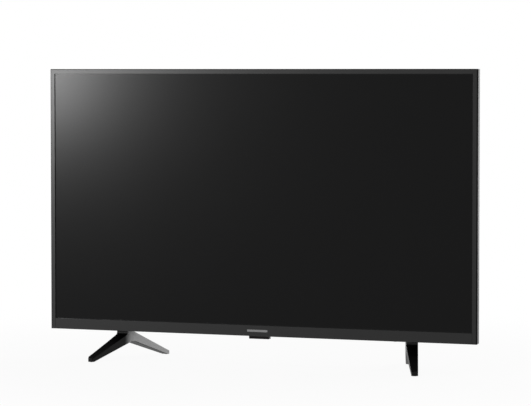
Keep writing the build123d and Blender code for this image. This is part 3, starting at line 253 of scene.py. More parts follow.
def bezel_plastic(name):
    """Satin moulded front with painted shade darkening its broken outer edge, and matt side walls."""
    side_shade_width = 1.75 * mm
    top_shade_width = 1.35 * mm
    wall_depth = 0.3 * mm
    finish = Finish(name)
    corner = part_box("bezel_frame")[1]
    fine = finish.noise(0.22 * mm, grain_detail)
    lines = finish.noise(0.5 * mm, 2.0, finish.stretched(0.03, 1, 1))
    slow = finish.noise(tone_size)
    marks = finish.noise(mark_size, mark_detail)
    across = finish.off_middle()
    height = finish.axis("Z")
    # Painted shade: a near-black band along the outer edge of the sides and the top
    edge = finish.either(across > (corner.x - side_shade_width), height > (corner.z - top_shade_width))
    wall = finish.either(across > (corner.x - wall_depth), height > (corner.z - wall_depth))
    relief = finish.bump(fine * 0.7 + lines * 0.3, 0.0025 * mm)
    front = finish.blend(slow * 0.5 + fine * 0.3 + lines * 0.2, grey(31), grey(36))
    satin = finish.shader(Base_Color=front, Roughness=marks * 0.02 + lines * 0.02 + 0.202, Normal=relief,
                          Specular_IOR_Level=0.213)
    # Its near-black colour is painted shade; its higher roughness and weak reflection are the matt finish
    matt_shaded_edge = finish.shader(Base_Color=finish.blend(fine, grey(5), grey(8)),
                         Roughness=marks * 0.04 + 0.24 + wall * 0.45, Normal=relief, Specular_IOR_Level=0.05)
    return finish.closed(finish.node("MixShader", {}, {0: edge, 1: satin, 2: matt_shaded_edge}))


def cover_plastic(name):
    """Dark grained back shell with a smooth rim band next to the bezel."""
    rim_width = 12.2 * mm
    finish = Finish(name)
    rim = finish.axis("Y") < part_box("rear_cover")[0].y + rim_width
    fine = finish.noise(0.55 * mm, grain_detail)
    pits = finish.cells(0.9 * mm)
    slow = finish.noise(140 * mm)
    marks = finish.noise(40 * mm, mark_detail)
    tone = finish.blend(slow * 0.6 + fine * 0.4, grey(26), grey(33))
    rough = (marks * 0.05 + pits * 0.06 + 0.46) * (1 - rim) + (marks * 0.04 + 0.26) * rim
    relief = finish.bump((fine * 0.6 + pits * 0.4) * (1 - rim * 0.92), 0.05 * mm)
    return finish.surface(Base_Color=tone, Roughness=rough, Normal=relief)


def foot_plastic(name):
    """Black satin plastic, with a painted reflection in paler satin grey on the inner faces of the rear
    legs.
    """
    # Planes that bound the inner faces: their slope, and how far off the middle they are at Y = 0
    rear_slope, rear_offset = 0.3235, 308.45 * mm
    front_slope, front_offset = 0.4628, 308.05 * mm
    # The painted reflection in paler grey comes in between these depths, round the bend between the legs
    bend_front, bend_back = -27 * mm, -8 * mm
    grain_share = 0.13
    finish = Finish(name)
    fine = finish.noise(0.4 * mm, grain_detail)
    grains = finish.cells(1.1 * mm) < grain_share
    marks = finish.noise(mark_size, mark_detail)
    across = finish.off_middle()
    depth = finish.axis("Y")
    inner_rear = (across + depth * rear_slope) < rear_offset
    inner_front = (across + depth * front_slope) < front_offset
    inner = finish.either(inner_rear, inner_front)
    rear = finish.ramp(depth, bend_front, bend_back)
    black = finish.blend(grains, finish.blend(fine, grey(3), grey(6)), grey(20))
    # Painted reflection: this pale grey stands in for a bright reflection on the inner faces
    pale = finish.blend(fine * 0.7 + marks * 0.3, grey(176), grey(190))
    return finish.surface(Base_Color=finish.blend(inner * rear, black, pale), Roughness=marks * 0.06 + 0.36,
                          Normal=finish.bump(fine, 0.008 * mm), Specular_IOR_Level=0.12)


def brushed_metal(name, dark, light, roughness, axis_scale, depth):
    """Metal with fine lines along one axis."""
    finish = Finish(name)
    lines = finish.noise(0.4 * mm, 4.0, finish.stretched(*axis_scale))
    slow = finish.noise(20 * mm)
    tone = finish.blend(lines * 0.6 + slow * 0.4, dark, light)
    relief = finish.bump(lines, depth)
    return finish.surface(Base_Color=tone, Metallic=1.0, Roughness=lines * 0.15 + roughness, Normal=relief)


def screen_glass(name):
    """Unlit panel: a matt coat over black, with a slightly paler printed margin round the picture."""
    margin_width = 6.2 * mm
    lower_extra = 1.8 * mm
    darkest = (0.0004, 0.0004, 0.0005, 1)
    dark = (0.0009, 0.0009, 0.0010, 1)
    printed = (0.0034, 0.0034, 0.0036, 1)
    finish = Finish(name)
    panel_low, panel_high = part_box("lcd_panel")
    height = finish.axis("Z")
    sides = finish.off_middle() > (panel_high.x - margin_width)
    lower = height < (panel_low.z + margin_width + lower_extra)
    upper = height > (panel_high.z - margin_width)
    margin = finish.either(finish.either(sides, lower), upper)
    sparkle = finish.noise(0.35 * mm, 1.0)
    cloud = finish.noise(160 * mm)
    tone = finish.blend(margin, finish.blend(cloud, darkest, dark), printed)
    rough = sparkle * 0.012 + cloud * 0.008 + 0.148
    relief = finish.bump(sparkle, 0.0004 * mm)
    return finish.surface(Base_Color=tone, Roughness=rough, Normal=relief, Specular_IOR_Level=0.12)


def circuit_board(name):
    """Green board with copper runs, pads and pale component marks."""
    lane_pitch, lane_share = 2.4 * mm, 0.3
    row_pitch, row_share = 3.1 * mm, 0.25
    pad_pitch, pad_share = 3.4 * mm, 0.16
    finish = Finish(name)
    lanes = finish.stripes("X", lane_pitch, lane_share)
    rows = finish.stripes("Z", row_pitch, row_share)
    patches = finish.noise(14 * mm) > 0.5
    runs = finish.either(lanes * patches, rows * (1 - patches))
    pads = finish.cells(pad_pitch) < pad_share
    green = finish.blend(finish.noise(40 * mm), colour(14, 62, 34), colour(22, 84, 46))
    tracked = finish.blend(runs, green, colour(34, 112, 60))
    tone = finish.blend(pads, tracked, colour(196, 188, 168))
    relief = finish.bump(runs * 0.5 + pads, 0.03 * mm)
    return finish.surface(Base_Color=tone, Metallic=pads * 0.8, Roughness=0.42 - pads * 0.12, Normal=relief)


def wrapped(name, band, ground, letter, pitch):
    """Sleeve or tape with a lighter band at a pitch."""
    band_share = 0.22
    finish = Finish(name)
    wrinkle = finish.noise(1.5 * mm, 4.0)
    tone = finish.blend(finish.stripes(letter, pitch, band_share), ground, band)
    relief = finish.bump(wrinkle, 0.08 * mm)
    return finish.surface(Base_Color=tone, Roughness=wrinkle * 0.2 + 0.3, Normal=relief)


def clear_plastic(name, tint, roughness):
    """Clear or milky moulded plastic with faint flow marks."""
    finish = Finish(name)
    flow = finish.noise(4 * mm, 3.0, finish.stretched(1, 1, 0.3))
    return finish.surface(Base_Color=finish.blend(flow, tint, white), Roughness=flow * 0.06 + roughness,
                          Normal=finish.bump(flow, 0.02 * mm), Transmission_Weight=0.55, IOR=1.49)


def printed_film(name, ground, track, pitch):
    """Flexible film with fine parallel conductors."""
    track_share = 0.5
    finish = Finish(name)
    tracks = finish.stripes("X", pitch, track_share)
    wave = finish.noise(9 * mm)
    return finish.surface(Base_Color=finish.blend(tracks, ground, track), Roughness=wave * 0.1 + 0.35,
                          Metallic=tracks * 0.5, Normal=finish.bump(tracks, 0.02 * mm))


def foam(name):
    """Open foam with small cells, with painted shade darkening each cell towards its middle."""
    finish = Finish(name)
    holes = finish.cells(0.8 * mm)
    # Painted shade: each cell is darker towards its middle, where the bump sinks into a pore
    tone = finish.blend(holes, grey(14), grey(44))
    return finish.surface(Base_Color=tone, Roughness=0.95, Normal=finish.bump(holes, 0.3 * mm))


# Each finish by the name of its slot: its maker, then what the maker takes after the name
recipes = {
    "bezel_plastic": (bezel_plastic,),
    "badge_metal": (brushed_metal, grey(78), grey(108), 0.30, (0.02, 1, 1), 0.003 * mm),
    "screen_glass": (screen_glass,),
    "frame_plastic": (moulded, grey(34), grey(46), 0.55, 0.4 * mm, 0.02 * mm),
    "optical_film": (moulded, grey(206), grey(222), 0.30, 0.12 * mm, 0.01 * mm),
    "diffuser_plastic": (moulded, grey(218), grey(230), 0.45, 0.3 * mm, 0.01 * mm),
    "reflector_film": (moulded, grey(226), grey(236), 0.62, 0.5 * mm, 0.01 * mm),
    "light_bar": (moulded, grey(205), grey(222), 0.40, 0.6 * mm, 0.01 * mm),
    "lens_plastic": (clear_plastic, colour(236, 242, 246), 0.08),
    "pan_steel": (brushed_metal, grey(136), grey(168), 0.38, (1, 1, 0.05), 0.004 * mm),
    "film_amber": (printed_film, colour(176, 112, 34), colour(206, 150, 84), 0.6 * mm),
    "board_green": (circuit_board,),
    "cover_plastic": (cover_plastic,),
    "spacer_steel": (brushed_metal, grey(150), grey(190), 0.28, (1, 0.05, 1), 0.004 * mm),
    "screw_steel": (brushed_metal, grey(52), grey(80), 0.34, (1, 0.1, 1), 0.006 * mm),
    "chip_black": (moulded, grey(26), grey(36), 0.5, 0.2 * mm, 0.01 * mm),
    "sink_aluminium": (brushed_metal, grey(158), grey(194), 0.3, (1, 1, 0.04), 0.005 * mm),
    "transformer_tape": (wrapped, colour(38, 36, 34), colour(196, 158, 40), "Z", 11 * mm),
    "capacitor_sleeve": (wrapped, grey(190), colour(22, 30, 52), "X", 18 * mm),
    "socket_steel": (brushed_metal, grey(150), grey(186), 0.26, (0.05, 1, 1), 0.003 * mm),
    "socket_black": (moulded, grey(20), grey(30), 0.42, 0.25 * mm, 0.01 * mm),
    "aerial_nickel": (brushed_metal, grey(164), grey(204), 0.2, (0.05, 1, 1), 0.003 * mm),
    "plate_black": (moulded, grey(27), grey(35), 0.46, 0.35 * mm, 0.02 * mm),
    "switch_plastic": (moulded, grey(15), grey(20), 0.30, 0.3 * mm, 0.006 * mm),
    "button_plastic": (moulded, grey(30), grey(38), 0.38, 0.3 * mm, 0.01 * mm),
    "speaker_plastic": (moulded, grey(28), grey(40), 0.55, 0.6 * mm, 0.03 * mm),
    "driver_paper": (moulded, grey(30), grey(48), 0.85, 0.5 * mm, 0.06 * mm),
    "gasket_foam": (foam,),
    "window_plastic": (moulded, colour(10, 6, 7), colour(14, 8, 10), 0.14, 0.8 * mm, 0.002 * mm, 0.12),
    "foot_plastic": (foot_plastic,),
    "pad_rubber": (moulded, grey(30), grey(40), 0.85, 0.5 * mm, 0.05 * mm, 0.3),
    "ribbon_white": (printed_film, grey(222), grey(170), 1.0 * mm),
    "lead_black": (moulded, grey(22), grey(32), 0.5, 0.9 * mm, 0.02 * mm),
    "contact_gold": (brushed_metal, colour(186, 146, 66), colour(214, 178, 98), 0.22, (0.1, 1, 1),
                     0.001 * mm),
    "network_lamp_green": (clear_plastic, colour(70, 150, 84), 0.2),
    "network_lamp_amber": (clear_plastic, colour(206, 150, 60), 0.2),
}
finishes = {name: maker(name, *values) for name, (maker, *values) in recipes.items()}


# Mesh tools

def slot_of(node):
    """Material slot of a CAD node, from the name of the material it was packed with."""
    return frame["nodes"][node].material_slots[0].material.name.split(".")[0]


slots = {node: slot_of(node) for node in frame["nodes"]}


def body_of(node):
    """Body that a node's piece rides on: the rocker and the keys have one of their own name."""
    return node if node in frame["bodies"] else "set"


def welded(node):
    """Copy of a CAD node's mesh with its triangles joined into flat faces."""
    bm = bmesh.new()
    bm.from_mesh(frame["nodes"][node].data)
    bmesh.ops.remove_doubles(bm, verts=bm.verts, dist=weld_distance)
    bmesh.ops.dissolve_limit(bm, angle_limit=flat_angle, verts=bm.verts, edges=bm.edges)
    return bm


def soften(bm, radius, steps=2, shortest=0.0, wanted=None):
    """Rounds the sharp edges of a mesh, or those of them that a test picks. Lengths in millimetres."""
    edges = [edge for edge in bm.edges if len(edge.link_faces) == 2
             and edge.calc_face_angle() > sharp_angle and edge.calc_length() >= shortest * mm
             and (wanted is None or wanted(edge))]
    bmesh.ops.bevel(bm, geom=edges, offset=radius * mm, offset_type="OFFSET", segments=steps, profile=0.5,
                    affect="EDGES", material=-1, clamp_overlap=False)


def piece(bm, name, slot, body="set", stands_for=None, finish=None):
    """Turns a mesh into a finished piece that rides on a body, in place of a CAD node or beside it."""
    mesh = bpy.data.meshes.new(name)
    bm.to_mesh(mesh)
    bm.free()
    mesh.shade_smooth()
    mesh.set_sharp_from_angle(angle=smooth_angle)
    made = bpy.data.objects.new(name, mesh)
    bpy.context.scene.collection.objects.link(made)
    mesh.materials.append(finishes[finish or slot])
    even = made.modifiers.new("flat_faces", "WEIGHTED_NORMAL")
    even.mode = "FACE_AREA"
    even.weight = 85
    even.keep_sharp = True
    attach(made, body)
    if stands_for:
        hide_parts(stands_for)


# Dressed copies of the CAD nodes that show: the name of the piece, and the radius and steps of its edges
dressed = {
    "bezel_frame": ("front_frame", 0.30, 3),
    "bottom_bezel": ("chin_bar", 0.30, 3),
    "lcd_panel": ("screen", 0.15, 2),
    "foot_pads": ("pads", 0.20, 2),
    "badge_bar": ("plain_badge", 0.06, 2),
    "terminal_plate": ("side_plate", 0.20, 2),
    "hdmi_sockets": ("screen_link_shells", 0.12, 2),
    "usb_sockets": ("data_shells", 0.12, 2),
    "network_socket": ("network_shell", 0.15, 2),
    "optical_socket": ("optical_body", 0.20, 2),
    "headphone_socket": ("headphone_body", 0.15, 2),
    "card_slot": ("card_body", 0.20, 2),
    "mains_inlet": ("inlet_body", 0.30, 2),
    "mains_switch": ("switch_frame", 0.25, 2),
    "control_panel": ("key_panel", 0.25, 2),
    "mains_rocker": ("rocker", 0.30, 3),
    "button_function": ("function_cap", 0.25, 2),
    "button_up": ("up_cap", 0.25, 2),
    "button_down": ("down_cap", 0.25, 2),
}
for node, (name, radius, steps) in dressed.items():
    bm = welded(node)
    soften(bm, radius, steps)
    piece(bm, name, slots[node], body_of(node), node)


def back_shell():
    """Back cover with its outward edges rounded, and none of those round its openings."""
    ridge_radius, ridge_steps = 0.6, 3
    large_face = 1500 * mm * mm

    def outer_ridge(edge):
        return edge.is_convex and min(face.calc_area() for face in edge.link_faces) > large_face

    bm = welded("rear_cover")
    soften(bm, ridge_radius, ridge_steps, wanted=outer_ridge)
    piece(bm, "back_shell", slots["rear_cover"], stands_for="rear_cover")


def foot(side):
    """Foot with the ridges of its legs and the rim of its front toe rounded."""
    ridge_radius, rim_radius, steps = 1.6, 2.4, 4
    shortest_ridge = 16
    set_underside = 63 * mm
    toe_end = -102 * mm
    above_sole = 5 * mm

    def leg_ridge(edge):
        return max(vert.co.z for vert in edge.verts) < set_underside

    def toe_rim(edge):
        first, second = (vert.co for vert in edge.verts)
        level = abs(first.z - second.z) < 0.5 * edge.calc_length()
        return level and max(first.y, second.y) < toe_end and min(first.z, second.z) > above_sole

    node = side + "_foot"
    bm = welded(node)
    soften(bm, ridge_radius, steps, shortest_ridge, leg_ridge)
    soften(bm, rim_radius, steps, wanted=toe_rim)
    piece(bm, "foot_" + side, slots[node], stands_for=node)


def eye_window():
    """Receiver window with the two upright corners at the back of its tab cut well round."""
    corner_radius, corner_steps, fine_radius = 4.5, 6, 0.12
    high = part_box("receiver_window")[1]
    corner_front, corner_back = high.y - 4 * mm, high.y - 2 * mm
    tab_side = high.x - 2 * mm
    lean = 0.1 * mm

    def tab_corner(edge):
        first, second = (vert.co for vert in edge.verts)
        upright = abs(first.x - second.x) + abs(first.y - second.y) < lean
        return upright and corner_front < first.y < corner_back and abs(first.x) < tab_side

    bm = welded("receiver_window")
    soften(bm, corner_radius, corner_steps, wanted=tab_corner)
    soften(bm, fine_radius)
    piece(bm, "eye_window", slots["receiver_window"], stands_for="receiver_window")


back_shell()
foot("left")
foot("right")
eye_window()


# Shapes for the small parts that the eye finds close up. They take millimetres.

def bar(low, high, radius=0.0):
    """Block between two corners, with rounded edges."""
    low, high = Vector(low) * mm, Vector(high) * mm
    bm = bmesh.new()
    bmesh.ops.create_cube(bm, size=1)
    bmesh.ops.scale(bm, vec=high - low, verts=bm.verts)
    bmesh.ops.translate(bm, vec=(low + high) / 2, verts=bm.verts)
    if radius:
        soften(bm, radius)
    return bm


def prism(radius, height, sides):
    """Upright prism or round bar with its middle at the origin."""
    bm = bmesh.new()
    bmesh.ops.create_cone(bm, cap_ends=True, segments=sides, radius1=radius * mm, radius2=radius * mm,
                          depth=height * mm)
    return bm


def knob(radius, height, dome, sides):
    """Round pin standing on its foot, with a rounded head."""
    bm = prism(radius, height, sides)
    bmesh.ops.translate(bm, vec=(0, 0, height * mm / 2), verts=bm.verts)
    soften(bm, dome, 3, wanted=lambda edge: min(vert.co.z for vert in edge.verts) > height * mm / 2)
    return bm


def turned(outline, steps, rise=0.0, turns=1):
    """Closed outline of radius and height, spun into a ring, or along a thread that rises with each turn."""
    bm = bmesh.new()
    ring = [bm.verts.new((radius * mm, 0, height * mm)) for radius, height in outline]
    edges = [bm.edges.new(pair) for pair in zip(ring, ring[1:] + ring[:1])]
    bmesh.ops.spin(bm, geom=ring + edges, cent=(0, 0, 0), axis=(0, 0, 1), dvec=(0, 0, rise * mm / steps),
                   angle=2 * pi * turns, steps=steps * turns, use_merge=not rise, use_duplicate=False)
    bmesh.ops.remove_doubles(bm, verts=bm.verts, dist=weld_distance)
    if rise:
        bmesh.ops.holes_fill(bm, edges=bm.edges, sides=len(outline))
    bmesh.ops.recalc_face_normals(bm, faces=bm.faces)
    return bm


def washer(inner, outer, low, high, steps):
    """Flat ring between two radii and two heights."""
    return turned([(inner, low), (outer, low), (outer, high), (inner, high)], steps)


def aimed(bm, axis, place):
    """Turns a shape from the upright axis to another and moves it."""
    turn = Vector((0, 0, 1)).rotation_difference(Vector(axis)).to_matrix()
    bmesh.ops.rotate(bm, matrix=turn, verts=bm.verts)
    bmesh.ops.translate(bm, vec=Vector(place) * mm, verts=bm.verts)
    return bm


def laid(bm, place, right, out):
    """Lays a flat mark on a face: its middle, the way the mark reads and the way it stands out."""
    right, out = Vector(right), Vector(out)
    bmesh.ops.rotate(bm, matrix=Matrix((right, out.cross(right), out)).transposed(), verts=bm.verts)
    bmesh.ops.translate(bm, vec=Vector(place) * mm, verts=bm.verts)
    return bm


def joined(shapes):
    """One mesh of several shapes."""
    whole = bmesh.new()
    for shape in shapes:
        mesh = bpy.data.meshes.new("part")
        shape.to_mesh(mesh)
        shape.free()
        whole.from_mesh(mesh)
        bpy.data.meshes.remove(mesh)
    return whole


def raised(marks, size, height):
    """Flat mesh of numbers, standing out by a height to each side."""
    curve = bpy.data.curves.new("marks", type="FONT")
    curve.body = marks
    curve.size = size * mm
    curve.extrude = height * mm
    curve.align_x = curve.align_y = "CENTER"
    flat = bpy.data.objects.new("marks", curve)
    mesh = bpy.data.meshes.new_from_object(flat)
    bm = bmesh.new()
    bm.from_mesh(mesh)
    bpy.data.objects.remove(flat)
    bpy.data.meshes.remove(mesh)
    bmesh.ops.remove_doubles(bm, verts=bm.verts, dist=weld_distance)
    return bm


def corners(node):
    """Lowest and highest corner of a node's box."""
    low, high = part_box(node)
    return low / mm, high / mm


def middle(node):
    """Middle of a node's box."""
    low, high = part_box(node)
    return (low + high) / 2 / mm


# The sockets' plate faces to the left, away from the set, and the back cover's raised part ends at back_y
away = (-1, 0, 0)
rightward = (1, 0, 0)
behind = (0, 1, 0)
upward = (0, 0, 1)
plate_x = corners("terminal_plate")[0].x
back_y = corners("rear_cover")[1].y


def aerial_connector():
    """Thread, nut, collar, insulator and centre contact of the aerial connector."""
    thread_root, thread_crest, thread_width = 4.72, 5.02, 0.72
    thread_pitch, thread_turns, thread_steps = 0.8, 9, 24
    thread_start, nut_middle = 2.2, 0.95
    nut_radius, nut_height, nut_edge = 6.4, 1.8, 0.25
    contact_bore, contact_radius, insulator_radius, collar_radius = 0.42, 0.75, 3.5, 4.6
    contact_sunk, contact_proud, insulator_proud, collar_proud = -0.4, 0.24, 0.2, 0.25
    ring_steps, contact_steps = 32, 20
    aerial = middle("aerial_socket")
    tip = (corners("aerial_socket")[0].x, aerial.y, aerial.z)
    ridge = [(thread_root, 0.0), (thread_crest, thread_width / 2), (thread_root, thread_width)]
    thread = aimed(turned(ridge, thread_steps, thread_pitch, thread_turns), away,
                   (plate_x - thread_start, aerial.y, aerial.z))
    nut = prism(nut_radius, nut_height, 6)
    soften(nut, nut_edge)
    nut = aimed(nut, away, (plate_x - nut_middle, aerial.y, aerial.z))
    collar = aimed(washer(insulator_radius, collar_radius, 0, collar_proud, ring_steps), away, tip)
    piece(joined([thread, nut, collar]), "aerial_thread", "aerial_nickel")
    insulator = washer(contact_radius, insulator_radius, 0, insulator_proud, ring_steps)
    piece(aimed(insulator, away, tip), "aerial_insulator", "diffuser_plastic")
    contact = washer(contact_bore, contact_radius, contact_sunk, contact_proud, contact_steps)
    piece(aimed(contact, away, tip), "aerial_contact", "badge_metal", finish="contact_gold")


def network_parts():
    """Eight leaning springs and two lamps of the network socket."""
    spring_count, spring_pitch, spring_lean = 8, 1.02, radians(62)
    spring_half, spring_edge = Vector((0.16, 5.2, 0.2)), 0.08
    spring_inset, spring_drop = 8.4, 1.0
    lamp_out, lamp_in = 0.25, 0.5
    lamp_low, lamp_high = 4.5, 6.1
    lamp_half, lamp_offset, lamp_edge = 1.4, 5.2, 0.2
    network = middle("network_socket")
    springs = []
    for number in range(spring_count):
        z = network.z + (number - (spring_count - 1) / 2) * spring_pitch
        spring = bar(-spring_half, spring_half, spring_edge)
        bmesh.ops.rotate(spring, matrix=Matrix.Rotation(spring_lean, 3, "Z"), verts=spring.verts)
        bmesh.ops.translate(spring, vec=Vector((plate_x + spring_inset, network.y - spring_drop, z)) * mm,
                            verts=spring.verts)
        springs.append(spring)
    piece(joined(springs), "network_springs", "socket_steel", finish="contact_gold")
    for name, side in (("network_lamp_green", -1), ("network_lamp_amber", 1)):
        z = network.z + side * lamp_offset
        lamp = bar((plate_x - lamp_out, network.y + lamp_low, z - lamp_half),
                   (plate_x + lamp_in, network.y + lamp_high, z + lamp_half), lamp_edge)
        piece(lamp, name, "lens_plastic", finish=name)


def tongues(node, name, half, end, contacts, pitch, width, faces):
    """Black tongue with gold contacts on one or both of its faces, in each mouth of a node's two sockets."""
    shell_edge = 1.6
    tongue_start, contact_start, tongue_edge = 4.7, 5.0, 0.15
    tongue_half, contact_under, contact_over = 0.56, 0.5, 0.62
    low, high = corners(node)
    y = (low.y + high.y) / 2
    covers, strips = [], []
    for z in (low.z + half + shell_edge, high.z - half - shell_edge):
        covers.append(bar((low.x + tongue_start, y - tongue_half, z - half),
                          (low.x + end, y + tongue_half, z + half), tongue_edge))
        for number in range(contacts):
            place = z + (number - (contacts - 1) / 2) * pitch
            for first, second in ((contact_under, contact_over), (-contact_over, -contact_under))[:faces]:
                strips.append(bar((low.x + contact_start, y + first, place - width / 2),
                                  (low.x + end, y + second, place + width / 2)))
    piece(joined(covers), name + "_tongues", "socket_black")
    piece(joined(strips), name + "_contacts", "socket_steel", finish="contact_gold")


def optical_shutter():
    """Hinged flap over the mouth of the optical socket."""
    flap_half, flap_front, flap_back, flap_edge = 2.7, 0.5, 0.95, 0.12
    hinge_radius, hinge_length, hinge_dome, hinge_sides = 0.35, 5.2, 0.1, 12
    hinge_inset, hinge_offset = 0.55, 2.4
    optical = middle("optical_socket")
    flap = bar((plate_x + flap_front, optical.y - flap_half, optical.z - flap_half),
               (plate_x + flap_back, optical.y + flap_half, optical.z + flap_half), flap_edge)
    hinge = aimed(knob(hinge_radius, hinge_length, hinge_dome, hinge_sides), upward,
                  (plate_x + hinge_inset, optical.y - hinge_offset, optical.z - hinge_length / 2))
    piece(joined([flap, hinge]), "optical_shutter", "socket_black")


def headphone_ring():
    """Nickel ring round the headphone bore."""
    bore, flange, lip, crown = 1.82, 2.9, 2.6, 2.0
    inside, shoulder, top = -0.6, 0.25, 0.45
    steps = 40
    phones = middle("headphone_socket")
    outline = [(bore, inside), (flange, inside), (flange, shoulder), (lip, top), (crown, top),
               (bore, shoulder)]
    ring = aimed(turned(outline, steps), away, (plate_x, phones.y, phones.z))
    piece(ring, "headphone_ring", "aerial_nickel")


def card_parts():
    """Two rows of pins at the end of the card slot, and a rail along each side of it."""
    pin_count, pin_pitch, pin_radius, pin_length = 34, 1.27, 0.22, 6
    pin_inset, row_offset, pin_dome, pin_sides = 57, 1.3, 0.12, 8
    rail_start, rail_end, rail_offset = 1.0, 40, 26.6
    rail_half_width, rail_half_height, rail_edge = 0.7, 0.5, 0.15
    card = middle("card_slot")
    pins = [aimed(knob(pin_radius, pin_length, pin_dome, pin_sides), away,
                  (plate_x + pin_inset, card.y + row * row_offset,
                   card.z + (number - (pin_count - 1) / 2) * pin_pitch))
            for row in (-1, 1) for number in range(pin_count)]
    piece(joined(pins), "card_pins", "socket_steel", finish="contact_gold")
    rails = [bar((plate_x + rail_start, card.y - rail_half_width, z - rail_half_height),
                 (plate_x + rail_end, card.y + rail_half_width, z + rail_half_height), rail_edge)
             for z in (card.z - rail_offset, card.z + rail_offset)]
    piece(joined(rails), "card_rails", "socket_black")


def inlet_pins():
    """Two round pins on the floor of the mains inlet."""
    inlet_depth, pin_offset = 17, 4.3
    pin_radius, pin_length, pin_dome, pin_sides = 1.25, 11.1, 0.8, 24
    inlet = middle("mains_inlet")
    floor_x = corners("mains_inlet")[1].x - inlet_depth
    pins = [aimed(knob(pin_radius, pin_length, pin_dome, pin_sides), rightward, (floor_x, inlet.y, z))
            for z in (inlet.z - pin_offset, inlet.z + pin_offset)]
    piece(joined(pins), "inlet_pins", "socket_steel")


def wall_mount_parts():
    """Thread in each hole of the wall mount, and a raised rim round it."""
    half_across, lower_row, upper_row = 100, 214, 414
    root, crest, width, pitch, depth = 3.02, 2.66, 0.8, 1.0, 16
    thread_turns, thread_steps, rim_steps = 15, 16, 48
    holes = [(x, z) for x in (-half_across, half_across) for z in (lower_row, upper_row)]
    groove = [(root, 0.0), (crest, width / 2), (root, width)]
    threads = [aimed(turned(groove, thread_steps, pitch, thread_turns), behind, (x, back_y - depth, z))
               for x, z in holes]
    piece(joined(threads), "mount_threads", "spacer_steel")
    rim_outline = [(8.7, -0.3), (12.5, -0.3), (12.3, 0.35), (11.7, 0.6), (9.4, 0.6), (8.7, 0.2)]
    rims = [aimed(turned(rim_outline, rim_steps), behind, (x, back_y, z)) for x, z in holes]
    piece(joined(rims), "mount_rims", "cover_plastic")


def rating_plate():
    """Bare plate on the back, with a thin metal border set in from its edges."""
    left, right, low, high = 150, 250, 236, 286
    plate_sunk, plate_proud, plate_edge = 0.2, 0.35, 0.12
    inset, line = 1.5, 0.6
    border_under, border_over = back_y + 0.3, back_y + 0.42
    plate = bar((left, back_y - plate_sunk, low), (right, back_y + plate_proud, high), plate_edge)
    piece(plate, "bare_rating_plate", "plate_black")
    left, right, low, high = left + inset, right - inset, low + inset, high - inset
    sides = ((left, right, low, low + line), (left, right, high - line, high),
             (left, left + line, low + line, high - line), (right - line, right, low + line, high - line))
    border = [bar((x0, border_under, z0), (x1, border_over, z1)) for x0, x1, z0, z1 in sides]
    piece(joined(border), "rating_plate_border", "badge_metal")


# Generic marks: numbers by the paired sockets, on and off on the rocker, signs on the keys

def socket_numbers():
    """1 and 2 beside the mouths of the paired sockets."""
    size, height, proud, y = 4.6, 0.09, 0.02, 0.4
    mouth_shares = {"1": 0.215, "2": 0.785}
    frontward = (0, -1, 0)
    marks = []
    for node in ("hdmi_sockets", "usb_sockets"):
        low, high = corners(node)
        for number, share in mouth_shares.items():
            place = (plate_x - proud, y, low.z + (high.z - low.z) * share)
            marks.append(laid(raised(number, size, height), place, frontward, away))
    piece(joined(marks), "socket_numbers", "badge_metal")


def rocker_marks():
    """Stroke on the upper half of the mains rocker and ring on its lower half."""
    sunk, proud = -0.05, 0.12
    stroke_half, stroke_reach, stroke_edge = 0.3, 1.7, 0.05
    ring_inner, ring_outer, ring_steps = 1.2, 1.75, 36
    rocker = welded("mains_rocker")
    backs = [face for face in rocker.faces if face.normal.y > 0.9]
    marks = []
    for face in sorted(backs, key=lambda back: -back.calc_area())[:2]:
        place = face.calc_center_median() / mm
        if place.z > middle("mains_rocker").z:
            mark = bar((-stroke_half, -stroke_reach, sunk), (stroke_half, stroke_reach, proud), stroke_edge)
        else:
            mark = washer(ring_inner, ring_outer, sunk, proud, ring_steps)
        marks.append(laid(mark, place, away, face.normal))
    rocker.free()
    piece(joined(marks), "rocker_marks", "diffuser_plastic", "mains_rocker")


def arrow(turn):
    """Flat triangle that points up, or down after half a turn."""
    reach, thickness, edge = 2.1, 0.24, 0.06
    bm = prism(reach, thickness, 3)
    bmesh.ops.rotate(bm, matrix=Matrix.Rotation(turn, 3, "Z"), verts=bm.verts)
    soften(bm, edge)
    return bm


def function_sign():
    """Ring with a short stem at its top."""
    sunk = -0.08
    ring_inner, ring_outer, ring_proud, ring_steps = 1.1, 1.75, 0.14, 36
    stem_half, stem_low, stem_high, stem_proud, stem_edge = 0.28, 0.5, 2.4, 0.15, 0.05
    ring = washer(ring_inner, ring_outer, sunk, ring_proud, ring_steps)
    stem = bar((-stem_half, stem_low, sunk), (stem_half, stem_high, stem_proud), stem_edge)
    return joined([ring, stem])


def key_sign(node, sign):
    """Sign in the middle of a key's face, moving with the key."""
    centre = middle(node)
    place = (centre.x, corners(node)[1].y, centre.z)
    piece(laid(sign, place, away, behind), node + "_sign", "diffuser_plastic", node)


aerial_connector()
network_parts()
tongues("hdmi_sockets", "screen_link", half=6.0, end=10.3, contacts=10, pitch=1.1, width=0.5, faces=2)
tongues("usb_sockets", "data", half=5.3, end=12.3, contacts=4, pitch=2.4, width=1.1, faces=1)
optical_shutter()
headphone_ring()
card_parts()
inlet_pins()
wall_mount_parts()
rating_plate()
socket_numbers()
rocker_marks()
key_sign("button_up", arrow(0))
key_sign("button_down", arrow(-pi))
key_sign("button_function", function_sign())


# CAD nodes that stay keep their shape and take a finish

for node, made in frame["nodes"].items():
    for place in made.material_slots:
        place.material = finishes[slots[node]]


# Stage

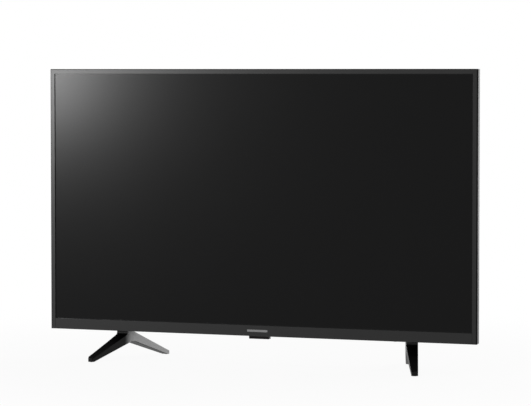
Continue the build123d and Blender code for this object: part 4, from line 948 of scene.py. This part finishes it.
def stage_floor():
    """Wide pale floor that is white to the camera far from the set and keeps the shadow near it."""
    floor_reach = 30
    shadow_reach, white_reach = 0.45, 1.4
    near_white = 0.93
    bm = bmesh.new()
    bmesh.ops.create_grid(bm, x_segments=1, y_segments=1, size=floor_reach)
    mesh = bpy.data.meshes.new("floor")
    bm.to_mesh(mesh)
    bm.free()
    floor = bpy.data.objects.new("floor", mesh)
    bpy.context.scene.collection.objects.link(floor)
    finish = Finish("floor_paint")
    reach = finish.node("VectorMath", {"operation": "LENGTH"}, {0: finish.place()}, output="Value")
    fade = finish.ramp(reach, shadow_reach, white_reach, To_Min=near_white, To_Max=1.0)
    paint = finish.node("BsdfDiffuse", {}, {"Color": grey(244)})
    glow = finish.node("Emission", {}, {"Color": white, "Strength": 1.0})
    mixed = finish.node("MixShader", {}, {0: fade * finish.direct_rays(), 1: paint, 2: glow})
    mesh.materials.append(finish.closed(mixed))


def world_light(level):
    """White to the camera and in reflections, and a plain grey fill for everything else."""
    world = bpy.data.worlds.new("studio")
    world.use_nodes = True
    bpy.context.scene.world = world
    sky = NodeTree(world.node_tree)
    fill = sky.node("Background", {}, {"Strength": level})
    backdrop = sky.node("Background", {}, {"Color": white})
    mixed = sky.node("MixShader", {}, {0: sky.direct_rays(), 1: fill, 2: backdrop})
    sky.node("OutputWorld", {}, {"Surface": mixed})


def soft_box(name, place, aim, width, height, radiance):
    """Square studio light that the camera doesn't see."""
    lamp = bpy.data.lights.new(name, "AREA")
    lamp.shape = "RECTANGLE"
    lamp.size = width
    lamp.size_y = height
    lamp.energy = radiance * width * height * pi
    made = bpy.data.objects.new(name, lamp)
    bpy.context.scene.collection.objects.link(made)
    direction = Vector(aim) - Vector(place)
    turn = direction.to_track_quat("-Z", "Y").to_matrix().to_4x4()
    made.matrix_world = Matrix.Translation(Vector(place)) @ turn
    made.visible_camera = False


def photograph_camera():
    """Camera at the photograph's viewing angle."""
    focal_length, sensor_width = 179.92, 36
    tilt_down, turn_left = 2.79, 21.496
    data = bpy.data.cameras.new("camera")
    data.lens = focal_length
    data.sensor_width = sensor_width
    camera = bpy.data.objects.new("camera", data)
    camera.location = (2.0521, -5.2211, 0.6152)
    camera.rotation_euler = (radians(90 - tilt_down), 0, radians(turn_left))
    bpy.context.scene.collection.objects.link(camera)
    bpy.context.scene.camera = camera


stage_floor()
world_light(level=0.62)

# The screen mirrors the left box at its upper left, and the rim box lights the right edge of the set
soft_box("left_box", place=(-3.734, -6.00625, 0.888), aim=(-0.3, -0.05625, 0.5),
         width=0.877, height=0.877, radiance=58.25)
soft_box("rim_box", place=(1.9, 1.6, 0.7), aim=(0.48, -0.046, 0.30), width=1.6, height=1.3, radiance=4)
photograph_camera()
bpy.context.scene.view_settings.view_transform = "Standard"
